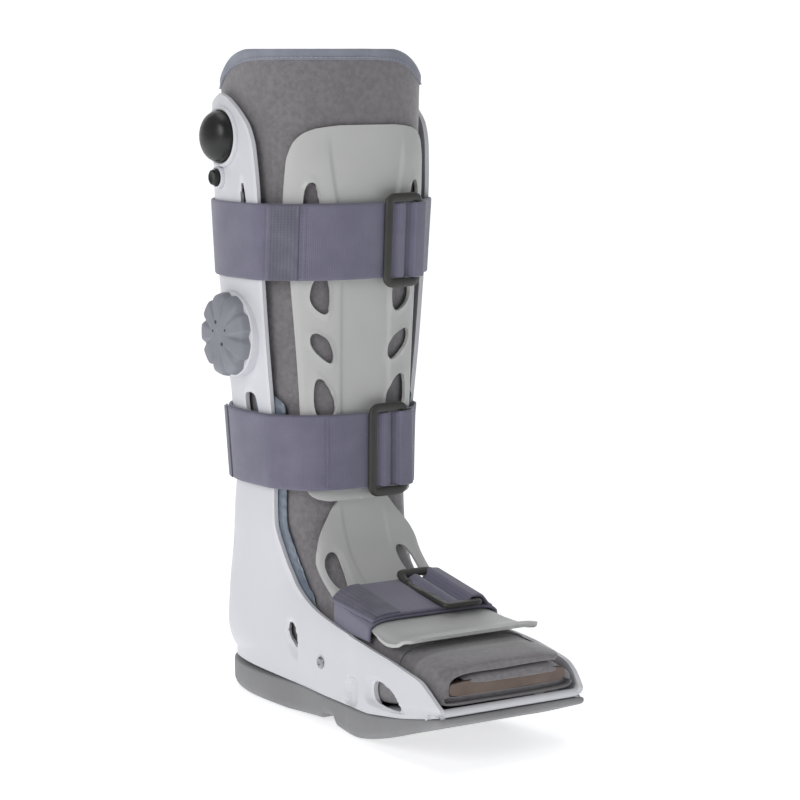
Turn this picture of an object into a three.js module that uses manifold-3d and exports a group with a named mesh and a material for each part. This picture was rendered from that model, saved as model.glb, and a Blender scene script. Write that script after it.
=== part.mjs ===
// A tall medical walking boot: rigid shell, rocker outsole, padded liner, two front plates,
// three straps with buckles, air cells with a squeeze bulb, a release button and a selector dial.
// Millimetres, +Z up, toe towards -Y, outer side of the leg towards -X.
// The origin lies on the flat tread, below the middle of the leg.

import * as THREE from 'three';
import { LoftGeometry } from 'three/addons/geometries/LoftGeometry.js';
import { mergeVertices } from 'three/addons/utils/BufferGeometryUtils.js';
import Module from 'manifold-3d';

// Main sizes of the liner, which everything else is fitted round
const bootHeight = 436; // floor to the liner's rim
const calfHalfWidth = 66;
const calfFront = 56; // from the leg's middle to the shin
const calfBack = 62; // from the leg's middle to the calf
const ankleHeight = 150; // where the leg ends and the instep begins to turn
const instepForward = 110; // the centre that the instep turns round, ahead of the leg
const instepRadius = 70; // from that centre to the skin of the instep
const heelBack = 70.5;
const heelHalfWidth = 41;
const toeReach = 219; // from the leg's middle to the shell's front lip
const ballHalfWidth = 51;
const toeSpring = 15; // rise of the sole's upper face from heel to toe
const toeRocker = 30; // rise of the tread from the ball to the toe
const toeHeight = 25; // from the liner's underside to its top at the toe
const linerWall = 6;
const linerToeInset = 6; // the liner ends this far behind the lip
const footSquareness = 4.5; // of the foot's upper side; 2 is an ellipse
const soleSquareness = 6;
const rimDip = 21; // how much lower the rim is at the sides than at shin and calf
const rimCurve = 2.8; // power of the rim's curve; a higher one keeps it level for longer
const legBackSquareness = 2.2; // of the calf's side
const legWidest = 0.5; // where the leg is widest, as a share of the way from shin to calf
const footWidest = 0.7; // the same for the foot, from its upper side to the sole

// Layers, each measured outwards from the one inside it
const fit = 0.3; // gap between neighbouring pieces
const shellGap = 3.1; // space for the air cells between liner and shell
const shellWall = 3;
const plateWall = 2.2;
const plateRib = 2; // how far the stiffening ribs stand proud
const plateRibWidth = 3;
const strapThickness = 2.5;
const buckleThickness = 3.4;
const insoleThickness = 9;
const bindingHeight = 7;
const bindingThickness = 1.2;
const toeFlapLength = 29;
const toeFlapOuter = 25; // from the boot's middle to the inner flap's free edge

// Outsole
const soleThickness = 17.5; // at the heel
const welt = 2.5; // how far the rubber climbs the shell
const weltProud = 0.8;
const treadEdge = 7; // rounding of the tread's lower edge
const archDepth = 4;
const heelFlatEnd = 25; // ahead of the leg's middle, where the heel's tread starts to rise
const heelRise = 3; // rise of the heel's tread at the arch
const archStart = 72; // ahead of the leg's middle
const archLength = 22;
const ballFlat = 12; // length of the ball's tread that lies on the floor
const rockerStart = 118; // where the tread leaves the floor
const rockerCurve = 1.35; // power of the rocker's rise
const rockerSteps = 6;
const heelRoundness = 0.84; // of the heel's plan; 1 is an ellipse, less is squarer

// Shell
const earDrop = 29; // from the rim down to the top of the side walls
const backDrop = 52; // from the rim down to the top of the shell behind the calf
const footWallDrop = 78; // from the ankle down to the side wall where the instep opening ends
const shellSquareness = 3.6; // the side walls run nearly straight forward to their front edges

// Straps and buckles
const strapWidth = 50;
const upperStrapDrop = 99; // from the rim down to the upper strap's upper edge
const lowerStrapDrop = 1; // from the ankle down to the lower strap's lower edge
const footStrapBack = 83; // rear edge, ahead of the leg's middle
const buckleLength = 62;
const buckleWidth = 31;
const buckleBar = 6;
const upperBuckleX = 23;
const lowerBuckleX = 13;
const footBuckleX = 19;
const foldLength = 52; // doubled end of each strap beside its buckle

// Front plates
const shinPlateDrop = 49; // from the rim down to its upper edge
const shinPlateOverlap = 9; // how far it reaches below the ankle
const shinPlateHalfWidth = 54;
const footPlateHalfWidth = 56;
const footPlateDrop = 10; // from the ankle down to its upper end
const footPlateReach = 173; // front lip, ahead of the leg's middle
const footPlateSquareness = 8; // the plate lies nearly flat across the instep
const footPlateFlare = 5; // how far the front lip stands off the liner
const footPlateFlareLength = 24;
const windowWidth = 12;
const footWindow = { across: 0.56, down: 0.6, tall: 0.32 }; // shares of the foot plate's sizes
const shinRib = { across: 0.33, up: 0.4, tall: 0.72 }; // shares of the shin plate's sizes

// Controls on the outer side
const bulbRadius = 17.7;
const bulbProud = 11;
const bulbDrop = 57; // from the rim down to the bulb's middle
const bulbY = 10;
const bulbCollarRim = 1.8;
const buttonCollarRim = 1.6;
const collarProud = 3;
const buttonRadius = 5.2;
const buttonProud = 3.4;
const buttonEdge = 1.2; // bevel of the button's rim
const buttonTravel = 1.5;
const buttonY = 16;
const dialRadius = 27.7;
const dialProud = 11;
const dialGap = 9.3; // from the upper strap down to the dial's seat
const dialY = 8;
const dialSeatThickness = 2.4;
const dialSeatRim = 1; // how far the seat shows round the dial
const dialPinRadius = 4;
const dialPinLength = 6;
const gripCount = 9;
const gripRadius = 4;
const gripDepth = 0.55; // share of the grip's radius that bites into the dial
const gripSides = 10;
const domeFullness = 0.8; // of the bulb and the dial; 1 is an ellipse, less is fuller
const domeSteps = 6;
const rootDepth = 12; // of turned pieces, before they are trimmed to the shell
const rivetRadius = 4;
const rivetProud = 1.2;
const rivetY = -75;
const rivetZ = 41;
const cellShow = 7; // width of air cell seen ahead of the shell's edge
const cellTop = 240;
const cellSpacing = 16; // from the boot's middle plane to each cell

// How finely round shapes are divided
const aroundCount = 20;
const roundSides = 20;
const rimSteps = 5;
const sectionCurves = 2;
const edgeSteps = 2;
const reachFar = 400; // longer than the whole boot, for cutting blocks
const weld = 1e-4;

// Sections of the leg, from rim to ankle. up is a share of the leg's length above the ankle,
// half, front and back are shares of the calf's sizes. square is the front's squareness.
const legRows = [
  { up: 1.0, half: 1.0, front: 1.0, back: 1.0, square: 2.5 },
  { up: 0.66, half: 0.95, front: 0.96, back: 1.0, square: 2.6 },
  { up: 0.49, half: 0.905, front: 0.915, back: 0.985, square: 2.6 },
  { up: 0.33, half: 0.85, front: 0.895, back: 0.94, square: 2.7 },
  { up: 0.17, half: 0.775, front: 0.885, back: 0.89, square: 3.0 },
  { up: 0.0, half: 0.69, front: 0.875, back: 0.93, square: 3.9 },
];

// Sections that fan out from the instep centre. turn is in degrees below the rearward line,
// near is a share of the instep's radius, half a share of the heel's half width.
// far is a share of the way to the heel's back or, past the heel's corner, to the sole.
const fanRows = [
  { turn: 14, near: 0.92, far: 0.945, half: 1.12, round: 2.3, widest: 0.52 },
  { turn: 26, near: 0.95, far: 0.985, half: 1.09, round: 2.4, widest: 0.56 },
  { turn: 34, near: 0.965, far: 0.975, half: 1.07, round: 2.6, widest: 0.6 },
  { turn: 39, near: 0.975, far: 0.975, half: 1.05, round: 3.2, widest: 0.66 },
  { turn: 50, near: 0.99, far: 1.0, half: 1.04, round: 4.5, widest: 0.7 },
  { turn: 63, near: 1.01, far: 1.0, half: 1.04, round: 5.0, widest: 0.72 },
  { turn: 77, near: 1.035, far: 1.0, half: 1.07, round: 5.5, widest: 0.74 },
];

// Sections of the foot. along is a share of the way from the instep centre to the lip,
// half a share of the ball's half width, rise a share of the toe spring and
// height a share of the way from the toe's height up to the instep's.
const footRows = [
  { along: 0.0, half: 0.89, rise: 0.02, height: 1.0 },
  { along: 0.18, half: 0.94, rise: 0.07, height: 0.78 },
  { along: 0.36, half: 0.98, rise: 0.2, height: 0.55 },
  { along: 0.62, half: 1.0, rise: 0.55, height: 0.27 },
  { along: 0.85, half: 1.0, rise: 0.88, height: 0.1 },
  { along: 1.0, half: 0.955, rise: 1.0, height: 0.0 },
];

// Front edge of the shell's side walls on the leg: up is a share of the way from the ankle to
// the top of the ear, ahead is a share of the calf's front.
const earRows = [
  { up: 1.0, ahead: -0.24 },
  { up: 0.976, ahead: 0.12 },
  { up: 0.926, ahead: 0.38 },
  { up: 0.842, ahead: 0.48 },
  { up: 0.731, ahead: 0.5 },
  { up: 0.186, ahead: 0.46 },
];

// The same edge round the ankle, where up is a share of the way from the foot wall to the ankle.
const ankleEdgeRows = [
  { up: 0.982, ahead: 0.37 },
  { up: 0.705, ahead: 0.385 },
  { up: 0.418, ahead: 0.52 },
  { up: 0.178, ahead: 0.75 },
];

// Upper edge of the shell's side walls along the foot: along is a share of the toe's reach,
// up is a share of the way from the liner's underside at the toe to the foot wall's top.
const footEdgeRows = [
  { along: 0.32, up: 1.0 },
  { along: 0.46, up: 0.835 },
  { along: 0.595, up: 0.74 },
  { along: 0.745, up: 0.64 },
  { along: 0.84, up: 0.53 },
  { along: 0.905, up: 0.455 },
  { along: 0.94, up: 0.345 },
  { along: 0.972, up: 0.13 },
  { along: 0.99, up: 0.0 },
];

// Half outline of the shin plate: up is a share of its height, half a share of its half width.
const shinPlateRows = [
  { up: 0.0, half: 0.6 },
  { up: 0.02, half: 0.74 },
  { up: 0.06, half: 0.78 },
  { up: 0.24, half: 0.8 },
  { up: 0.57, half: 0.9 },
  { up: 0.8, half: 1.0 },
  { up: 0.93, half: 0.97 },
  { up: 0.97, half: 0.88 },
  { up: 0.99, half: 0.66 },
  { up: 1.0, half: 0.3 },
];

// Windows of the shin plate: up is the middle as a share of the plate's height, tall the
// height as a share of it, across the middle as a share of the plate's half width.
const shinWindowRows = [
  { up: 0.545, tall: 0.1, across: 0.625 },
  { up: 0.412, tall: 0.094, across: 0.59 },
  { up: 0.284, tall: 0.08, across: 0.55 },
  { up: 0.75, tall: 0.2, across: 0.71 },
];

// Half outline of the foot plate, seen square to the instep: down is a share of the way from
// its upper end to its front lip, half a share of its half width.
const footPlateRows = [
  { down: 0.0, half: 0.39 },
  { down: 0.02, half: 0.57 },
  { down: 0.06, half: 0.66 },
  { down: 0.125, half: 0.715 },
  { down: 0.2, half: 0.75 },
  { down: 0.42, half: 0.76 },
  { down: 0.6, half: 0.8 },
  { down: 0.78, half: 0.87 },
  { down: 0.96, half: 0.96 },
  { down: 1.0, half: 0.9 },
];

// Cut-outs in both side walls of the shell. along, wide and lean are shares of the toe's
// reach, up and tall are shares of the ear's height on the leg and of the foot wall's height
// on the foot.
const sideSlot = { along: 0.055, up: 0.781, wide: 0.0365, tall: 0.172 };
const sideScoop = { along: 0.018, up: 0.482, wide: 0.0685, tall: 0.074 };
const toeWindow = { along: 0.73, up: 0.514, wide: 0.174, tall: 0.194 };
// Shallow recesses in the same walls.
const sideRecesses = [
  { along: 0.534, up: 0.472, wide: 0.046, tall: 0.278, lean: 0.0365 },
  { along: 0.146, up: 0.639, wide: 0.041, tall: 0.375, lean: -0.032 },
];
const recessDepth = 1.4;

// Rear of the ears: shares of the calf's back, and how far up the ear the curve ends.
const earRear = { flat: 0.8, turn: 0.6, end: 0.52, rise: 0.7 };

const instepCentre = { y: -instepForward, z: ankleHeight };
const shellOuter = shellGap + shellWall;
const linerUnderside = soleThickness + fit + shellOuter;
const earTop = bootHeight - earDrop;
const backTop = bootHeight - backDrop;
const footWall = ankleHeight - footWallDrop;
const toeFloor = linerUnderside + toeSpring;
const upperStrapZ = bootHeight - upperStrapDrop - strapWidth;
const lowerStrapZ = ankleHeight - lowerStrapDrop;
const shinPlateTop = bootHeight - shinPlateDrop;
const shinPlateBottom = ankleHeight - shinPlateOverlap;
const footPlateTop = ankleHeight - footPlateDrop;
const bulbZ = bootHeight - bulbDrop;
const dialSeatRadius = dialRadius + dialSeatRim;
const dialZ = upperStrapZ - dialGap - dialSeatRadius;
const linerFront = -toeReach + linerToeInset;
const plateOuter = fit + plateWall;
const strapInner = shellOuter + fit;
const strapOuter = strapInner + strapThickness;
const footStrapInner = plateOuter + fit;
const footStrapOuter = footStrapInner + strapThickness;
const bulbCollarRadius = bulbRadius + bulbCollarRim;
const buttonCollarRadius = buttonRadius + fit + buttonCollarRim;
const buttonZ = bulbZ - bulbCollarRadius - fit - buttonCollarRadius;

const manifold = await Module();
manifold.setup();

const finish = {
  shell: { color: 0xdcdde4, roughness: 0.42, metalness: 0 },
  plate: { color: 0xc4c4c6, roughness: 0.45, metalness: 0 },
  strap: { color: 0x77748c, roughness: 0.85, metalness: 0 },
  hardware: { color: 0x3d3c3a, roughness: 0.5, metalness: 0 },
  bulb: { color: 0x1d1c20, roughness: 0.35, metalness: 0 },
  dial: { color: 0x8a8c93, roughness: 0.5, metalness: 0 },
  liner: { color: 0x85807f, roughness: 0.95, metalness: 0 },
  binding: { color: 0x8f95a4, roughness: 0.85, metalness: 0 },
  rubber: { color: 0x8b8b8e, roughness: 0.75, metalness: 0 },
  foam: { color: 0x7a6c64, roughness: 0.9, metalness: 0 },
  vinyl: { color: 0x76828f, roughness: 0.12, metalness: 0 },
  metal: { color: 0xb8b8b6, roughness: 0.3, metalness: 0.9 },
};

function toSolid(geometry) {
  const bare = new THREE.BufferGeometry();
  bare.setAttribute('position', geometry.attributes.position);
  bare.setIndex(geometry.index);
  const welded = mergeVertices(bare, weld);
  const corners = [];
  for (let i = 0; i < welded.index.count; i += 3) {
    const [a, b, c] = [0, 1, 2].map((k) => welded.index.getX(i + k));
    if (a !== b && b !== c && c !== a) {
      corners.push(a, b, c);
    }
  }
  return new manifold.Manifold(new manifold.Mesh({
    numProp: 3,
    vertProperties: new Float32Array(welded.attributes.position.array),
    triVerts: new Uint32Array(corners),
  }));
}

function toGeometry(solid) {
  const mesh = solid.getMesh();
  const geometry = new THREE.BufferGeometry();
  geometry.setAttribute('position', new THREE.BufferAttribute(mesh.vertProperties, mesh.numProp));
  geometry.setIndex(new THREE.BufferAttribute(mesh.triVerts, 1));
  geometry.computeVertexNormals();
  return geometry;
}

function mix(from, to, share) {
  return from + (to - from) * share;
}

function legStation({ up, half, front, back, square }) {
  return {
    y: instepCentre.y,
    z: mix(ankleHeight, bootHeight, up),
    dy: 1,
    dz: 0,
    near: instepForward - front * calfFront,
    far: instepForward + back * calfBack,
    half: half * calfHalfWidth,
    roundNear: square,
    roundFar: legBackSquareness,
    widest: legWidest,
  };
}

function fanStation({ turn, near, far, half, round, widest }) {
  const angle = THREE.MathUtils.degToRad(turn);
  const toHeel = (instepForward + heelBack) / Math.cos(angle);
  const toSole = (ankleHeight - linerUnderside) / Math.sin(angle);
  return {
    y: instepCentre.y,
    z: instepCentre.z,
    dy: Math.cos(angle),
    dz: -Math.sin(angle),
    near: near * instepRadius,
    far: far * Math.min(toHeel, toSole),
    half: half * heelHalfWidth,
    roundNear: footSquareness,
    roundFar: round,
    widest,
  };
}

function footStation({ along, half, rise, height }) {
  const under = linerUnderside + rise * toeSpring;
  const instepTop = ankleHeight - instepRadius * fanRows[fanRows.length - 1].near;
  const top = mix(toeFloor + toeHeight, instepTop, height);
  return {
    y: mix(instepCentre.y, -toeReach, along),
    z: instepCentre.z,
    dy: 0,
    dz: -1,
    near: ankleHeight - top,
    far: ankleHeight - under,
    half: half * ballHalfWidth,
    roundNear: footSquareness,
    roundFar: soleSquareness,
    widest: footWidest,
  };
}

const stations = [
  ...legRows.map(legStation),
  ...fanRows.map(fanStation),
  ...footRows.map(footStation),
];

// One closed section of the boot: a rounded shape whose front and back halves have their own
// squareness, grown outwards by the given distance.
function sectionPoints(station, grow, squareness) {
  const roundNear = Math.max(station.roundNear, squareness);
  const middle = mix(station.near, station.far, station.widest);
  const points = [];
  for (let i = 0; i < aroundCount; i += 1) {
    const angle = (i / aroundCount) * 2 * Math.PI;
    const along = Math.cos(angle);
    const across = Math.sin(angle);
    const power = 2 / (along > 0 ? station.roundFar : roundNear);
    const reach = along > 0 ? station.far - middle : middle - station.near;
    const s = middle + Math.sign(along) * (reach + grow) * Math.abs(along) ** power;
    const x = Math.sign(across) * (station.half + grow) * Math.abs(across) ** power;
    points.push(new THREE.Vector3(x, station.y + s * station.dy, station.z + s * station.dz));
  }
  return points;
}

// The whole boot grown by a distance, or by a function of the station. Ends that run on make
// a tool that cuts through an open top or toe. A squareness above the station's own makes the
// sides run straight forward.
function bootForm(grow, endsRunOn = false, squareness = 0) {
  const growAt = typeof grow === 'function' ? grow : () => grow;
  const list = stations.map((station) => sectionPoints(station, growAt(station), squareness));
  if (endsRunOn) {
    const lift = new THREE.Vector3(0, 0, strapWidth);
    const forward = new THREE.Vector3(0, -strapWidth, 0);
    list.unshift(list[0].map((point) => point.clone().add(lift)));
    list.push(list[list.length - 1].map((point) => point.clone().add(forward)));
  }
  return toSolid(new LoftGeometry(list, { capStart: true, capEnd: true }));
}

// A layer of the boot between two distances from the liner's outer face.
function skin(inner, outer, squareness = 0) {
  return bootForm(outer, false, squareness).subtract(bootForm(inner, true, squareness));
}

function block(min, max) {
  const size = new THREE.Vector3().subVectors(max, min);
  const box = new THREE.BoxGeometry(size.x, size.y, size.z);
  box.translate((min.x + max.x) / 2, (min.y + max.y) / 2, (min.z + max.z) / 2);
  return toSolid(box);
}

function between(axis, low, high) {
  const min = new THREE.Vector3(-reachFar, -reachFar, -reachFar);
  const max = new THREE.Vector3(reachFar, reachFar, 2 * reachFar);
  min[axis] = low;
  max[axis] = high;
  return block(min, max);
}

// Turns an outline into a prism: across and up are the directions of its two axes in space.
function prism(shape, across, up, depth, start = 0) {
  const along = new THREE.Vector3().crossVectors(across, up);
  const turn = new THREE.Matrix4().makeBasis(across, up, along);
  const options = { depth, bevelEnabled: false, curveSegments: sectionCurves };
  const solid = new THREE.ExtrudeGeometry(shape, options);
  solid.translate(0, 0, start);
  solid.applyMatrix4(turn);
  return toSolid(solid);
}

const axisX = new THREE.Vector3(1, 0, 0);
const axisY = new THREE.Vector3(0, 1, 0);
const axisZ = new THREE.Vector3(0, 0, 1);
const upSlope = new THREE.Vector3(0, 1, 1).normalize();

function sidePrism(shape) {
  return prism(shape, axisY, axisZ, 2 * reachFar, -reachFar);
}

function frontPrism(shape) {
  return prism(shape, axisX, axisZ, reachFar);
}

function planPrism(shape, low = 0) {
  return prism(shape, axisX, axisY, reachFar, low);
}

// A plan outline whose lower edge is rounded off.
function roundedPlan(shape, edge) {
  return toSolid(new THREE.ExtrudeGeometry(shape, {
    depth: reachFar,
    bevelThickness: edge,
    bevelSize: edge,
    bevelOffset: -edge,
    bevelSegments: edgeSteps,
  }).translate(0, 0, edge));
}

// A rounded window, leaning sideways by lean at its top.
function windowShape(x, y, wide, tall, lean = 0, corner = 0.42) {
  const round = corner * Math.min(wide, tall);
  const [left, right, low, high] = [x - wide / 2, x + wide / 2, y - tall / 2, y + tall / 2];
  const shape = new THREE.Shape();
  shape.moveTo(left + round - lean / 2, low);
  shape.lineTo(right - round - lean / 2, low);
  shape.quadraticCurveTo(right - lean / 2, low, right - lean / 2, low + round);
  shape.lineTo(right + lean / 2, high - round);
  shape.quadraticCurveTo(right + lean / 2, high, right - round + lean / 2, high);
  shape.lineTo(left + round + lean / 2, high);
  shape.quadraticCurveTo(left + lean / 2, high, left + lean / 2, high - round);
  shape.lineTo(left - lean / 2, low + round);
  shape.quadraticCurveTo(left - lean / 2, low, left + round - lean / 2, low);
  return shape;
}

// Mirrors a half outline, given from one end to the other, about the middle line.
function mirroredShape(halfPoints) {
  const right = halfPoints.map(([half, along]) => new THREE.Vector2(half, along));
  const left = halfPoints.map(([half, along]) => new THREE.Vector2(-half, along)).reverse();
  return new THREE.Shape([...right, ...left]);
}

// Side outline of all that the shell keeps: behind its front edge and below its foot edge.
function shellOutline() {
  const behind = heelBack + reachFar / 2;
  const toPoint = (low, high) => ({ up, ahead }) => (
    new THREE.Vector2(-ahead * calfFront, mix(low, high, up))
  );
  const edge = [
    ...earRows.map(toPoint(ankleHeight, earTop)),
    ...ankleEdgeRows.map(toPoint(footWall, ankleHeight)),
    ...footEdgeRows.map(({ along, up }) => (
      new THREE.Vector2(-along * toeReach, mix(toeFloor, footWall, up))
    )),
  ];
  const shape = new THREE.Shape();
  shape.moveTo(behind, -reachFar);
  shape.lineTo(behind, backTop);
  shape.lineTo(earRear.flat * calfBack, backTop);
  const curveEnd = mix(backTop, earTop, earRear.rise);
  shape.quadraticCurveTo(earRear.turn * calfBack, backTop, earRear.end * calfBack, curveEnd);
  shape.lineTo(edge[0].x, edge[0].y);
  edge.slice(1).forEach((point) => shape.lineTo(point.x, point.y));
  shape.lineTo(-toeReach - strapWidth, edge[edge.length - 1].y);
  shape.lineTo(-toeReach - strapWidth, -reachFar);
  return shape;
}

const shellKeep = sidePrism(shellOutline());
const cellKeep = shellKeep.translate([0, -cellShow, 0]);

// All that lies inside the shell's outer face with the fit added, for what is seated on it.
const insideSeat = bootForm(shellOuter + fit, true, shellSquareness);

// A cut-out's prism through both side walls, its heights as shares of the given height.
function sideCut({ along, up, wide, tall, lean = 0 }, height) {
  const middle = [-along * toeReach, up * height];
  const size = [wide * toeReach, tall * height];
  return sidePrism(windowShape(...middle, ...size, lean * toeReach));
}

function makeShell() {
  let solid = skin(shellGap, shellOuter, shellSquareness).intersect(shellKeep);
  solid = solid
    .subtract(sideCut(sideSlot, earTop))
    .subtract(sideCut(sideScoop, earTop))
    .subtract(sideCut(toeWindow, footWall));
  const surface = bootForm(shellOuter - recessDepth, true, shellSquareness);
  sideRecesses.forEach((row) => {
    solid = solid.subtract(sideCut(row, footWall).subtract(surface));
  });
  return solid.subtract(rivetHole());
}

function rivetHole() {
  const hole = new THREE.CylinderGeometry(rivetRadius / 2, rivetRadius / 2, reachFar, roundSides);
  hole.rotateZ(Math.PI / 2);
  hole.translate(-reachFar / 2, rivetY, rivetZ);
  return toSolid(hole);
}

// Places on the sole where the fan's and the foot's sections end, from heel to toe.
function soleStations() {
  return stations
    .slice(legRows.length)
    .map((station) => ({
      y: station.y + station.far * station.dy,
      z: station.z + station.far * station.dz,
      half: station.half,
    }))
    .filter(({ y }) => y < heelBack / 2);
}

function makeOutsole() {
  const places = soleStations();
  const grow = shellOuter + weltProud;
  const heelMiddle = places[0].y;
  const heelLength = heelBack + grow - heelMiddle;
  const rim = [];
  for (let i = 0; i < roundSides / 2; i += 1) {
    const angle = (i / roundSides) * Math.PI;
    const half = (places[0].half + grow) * Math.sin(angle) ** heelRoundness;
    rim.push([half, heelMiddle + heelLength * Math.cos(angle) ** heelRoundness]);
  }
  places.forEach(({ y, half }) => rim.push([half + grow, y]));
  rim[rim.length - 1][1] -= grow / 3;
  const plan = roundedPlan(mirroredShape(rim.slice(1)), treadEdge);

  const side = new THREE.Shape();
  const heelEdge = heelBack + grow;
  side.moveTo(heelEdge, treadEdge / 2);
  side.lineTo(heelEdge - 2 * treadEdge, 0);
  side.lineTo(-heelFlatEnd, 0);
  side.lineTo(-archStart, heelRise);
  side.lineTo(-archStart - archDepth, heelRise + archDepth);
  side.lineTo(-archStart - archLength + archDepth, heelRise + archDepth);
  side.lineTo(-archStart - archLength, heelRise / 2);
  side.lineTo(-rockerStart + ballFlat, 0);
  side.lineTo(-rockerStart, 0);
  const rockerLength = toeReach + grow - rockerStart;
  for (let i = 1; i <= rockerSteps; i += 1) {
    const share = i / rockerSteps;
    side.lineTo(-rockerStart - share * rockerLength, toeRocker * share ** rockerCurve);
  }
  places.slice().reverse().forEach(({ y, z }) => side.lineTo(y, z - shellOuter + welt));
  side.lineTo(heelEdge, linerUnderside - shellOuter + welt);
  return plan.intersect(sidePrism(side)).subtract(insideSeat);
}

// All that lies below the liner's rim, which dips at the sides, raised by a lift.
function belowRim(lift) {
  const rim = [];
  for (let i = 0; i <= rimSteps; i += 1) {
    const share = i / rimSteps;
    rim.push([share * calfHalfWidth, bootHeight + lift - rimDip * share ** rimCurve]);
  }
  const sideZ = bootHeight + lift - rimDip;
  const far = [[reachFar, sideZ], [reachFar, -reachFar]];
  const outline = mirroredShape([...rim.slice(1), ...far].reverse());
  return prism(outline, axisX, axisZ, 2 * reachFar, -reachFar);
}

// The liner's wall, grown by a distance on both its faces, open at rim and toe.
function linerWallForm(grow) {
  return bootForm(grow, true).subtract(bootForm(-linerWall - grow, true));
}

function makeLiner() {
  return linerWallForm(0)
    .intersect(belowRim(0))
    .intersect(between('y', linerFront, reachFar));
}

function makeBinding() {
  const outer = fit + bindingThickness;
  const insideWall = linerWallForm(fit).intersect(belowRim(fit));
  return linerWallForm(outer)
    .intersect(belowRim(outer))
    .subtract(belowRim(-bindingHeight))
    .subtract(insideWall);
}

// A block whose upper face follows the sole's rise, for everything that lies on the sole.
function soleBlock(height) {
  const side = new THREE.Shape();
  side.moveTo(reachFar, -reachFar);
  side.lineTo(reachFar, linerUnderside + height);
  soleStations().forEach(({ y, z }) => side.lineTo(y, z + height));
  side.lineTo(-reachFar, toeFloor + height);
  side.lineTo(-reachFar, -reachFar);
  return sidePrism(side);
}

function makeInsole() {
  return bootForm(-linerWall - fit)
    .intersect(soleBlock(linerWall + fit + insoleThickness))
    .intersect(between('y', linerFront, reachFar));
}

// The inner of the two overlapping flaps that close the liner over the toes.
function makeToeFlap() {
  const low = linerWall + fit + insoleThickness + fit;
  return bootForm(-linerWall - fit)
    .subtract(soleBlock(low))
    .intersect(between('y', linerFront, linerFront + toeFlapLength))
    .intersect(between('x', -toeFlapOuter, ballHalfWidth));
}

function makeAirCell(side) {
  const [low, high] = side < 0 ? [-reachFar, -cellSpacing] : [cellSpacing, reachFar];
  return skin(fit, shellGap - fit)
    .intersect(cellKeep)
    .intersect(between('z', footWall, cellTop))
    .intersect(between('y', -reachFar, calfBack / 2))
    .intersect(between('x', low, high));
}

function makeShinPlate() {
  const height = shinPlateTop - shinPlateBottom;
  const toPoint = ({ up, half }) => [half * shinPlateHalfWidth, shinPlateBottom + up * height];
  const outline = frontPrism(mirroredShape(shinPlateRows.map(toPoint)));
  const ribs = [-1, 1].map((side) => {
    const x = side * shinRib.across * shinPlateHalfWidth;
    const middle = shinPlateBottom + height * shinRib.up;
    const shape = windowShape(x, middle, plateRibWidth, height * shinRib.tall);
    return skin(plateOuter - fit, plateOuter + plateRib).intersect(frontPrism(shape));
  });
  let solid = skin(fit, plateOuter).intersect(outline).add(ribs[0]).add(ribs[1]);
  [-1, 1].forEach((side) => {
    shinWindowRows.forEach(({ up, tall, across }) => {
      const x = side * across * shinPlateHalfWidth;
      const z = shinPlateBottom + up * height;
      const shape = windowShape(x, z, windowWidth, tall * height, side * windowWidth / 6);
      solid = solid.subtract(frontPrism(shape));
    });
  });
  return solid.subtract(cellKeep.translate([0, -fit, 0]));
}

// The foot plate stands off the liner towards its front lip.
function plateFlare(station) {
  const ahead = -(station.y + station.near * station.dy);
  const start = footPlateReach - footPlateFlareLength;
  const share = THREE.MathUtils.clamp((ahead - start) / footPlateFlareLength, 0, 1);
  return footPlateFlare * share * share;
}

function makeFootPlate() {
  const outerAt = (station) => plateOuter + plateFlare(station);
  const innerAt = (station) => fit + plateFlare(station);
  const outer = bootForm(outerAt, false, footPlateSquareness);
  const inner = bootForm(innerAt, true, footPlateSquareness);
  const topSlope = (footPlateTop - calfFront) * Math.SQRT1_2;
  const lipZ = toeFloor + toeHeight;
  const lipSlope = (lipZ - footPlateReach) * Math.SQRT1_2;
  const toPoint = ({ down, half }) => [half * footPlateHalfWidth, mix(topSlope, lipSlope, down)];
  const outline = prism(mirroredShape(footPlateRows.map(toPoint)), axisX, upSlope, reachFar);
  const besideShell = shellKeep.translate([0, -fit, fit]);
  let solid = outer.subtract(inner).intersect(outline).subtract(besideShell);
  [-1, 1].forEach((side) => {
    const x = side * footPlateHalfWidth * footWindow.across;
    const z = mix(footPlateTop, footWall, footWindow.down);
    const tall = footWindow.tall * (footPlateTop - footWall);
    const shape = windowShape(x, z, windowWidth, tall, side * windowWidth / 3);
    solid = solid.subtract(frontPrism(shape));
  });
  return solid
    .intersect(between('z', 0, shinPlateBottom - 2 * fit))
    .subtract(cellKeep.translate([0, -fit, 0]).intersect(between('z', footWall - fit, reachFar)));
}

function makeLegStrap(bottom, buckleX) {
  const band = between('z', bottom, bottom + strapWidth);
  const ring = skin(strapInner, strapOuter, shellSquareness).intersect(band);
  const foldEnd = buckleX - buckleWidth / 2 + buckleBar;
  const fold = skin(strapOuter - fit, strapOuter + strapThickness, shellSquareness)
    .intersect(band)
    .intersect(between('x', foldEnd - foldLength, foldEnd + buckleWidth / 2))
    .intersect(between('y', -reachFar, 0));
  return ring.add(fold);
}

function makeFootStrap() {
  const band = between('y', -footStrapBack - strapWidth, -footStrapBack);
  const aboveSole = between('z', toeFloor, reachFar);
  const ring = skin(footStrapInner, footStrapOuter, footPlateSquareness)
    .intersect(band)
    .intersect(aboveSole);
  const foldEnd = footBuckleX - buckleWidth / 2 + buckleBar;
  const fold = skin(footStrapOuter - fit, footStrapOuter + strapThickness, footPlateSquareness)
    .intersect(band)
    .intersect(aboveSole)
    .intersect(between('x', foldEnd - foldLength, foldEnd + buckleWidth / 2));
  return ring.add(fold).subtract(shellKeep.translate([0, -fit, fit]));
}

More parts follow.
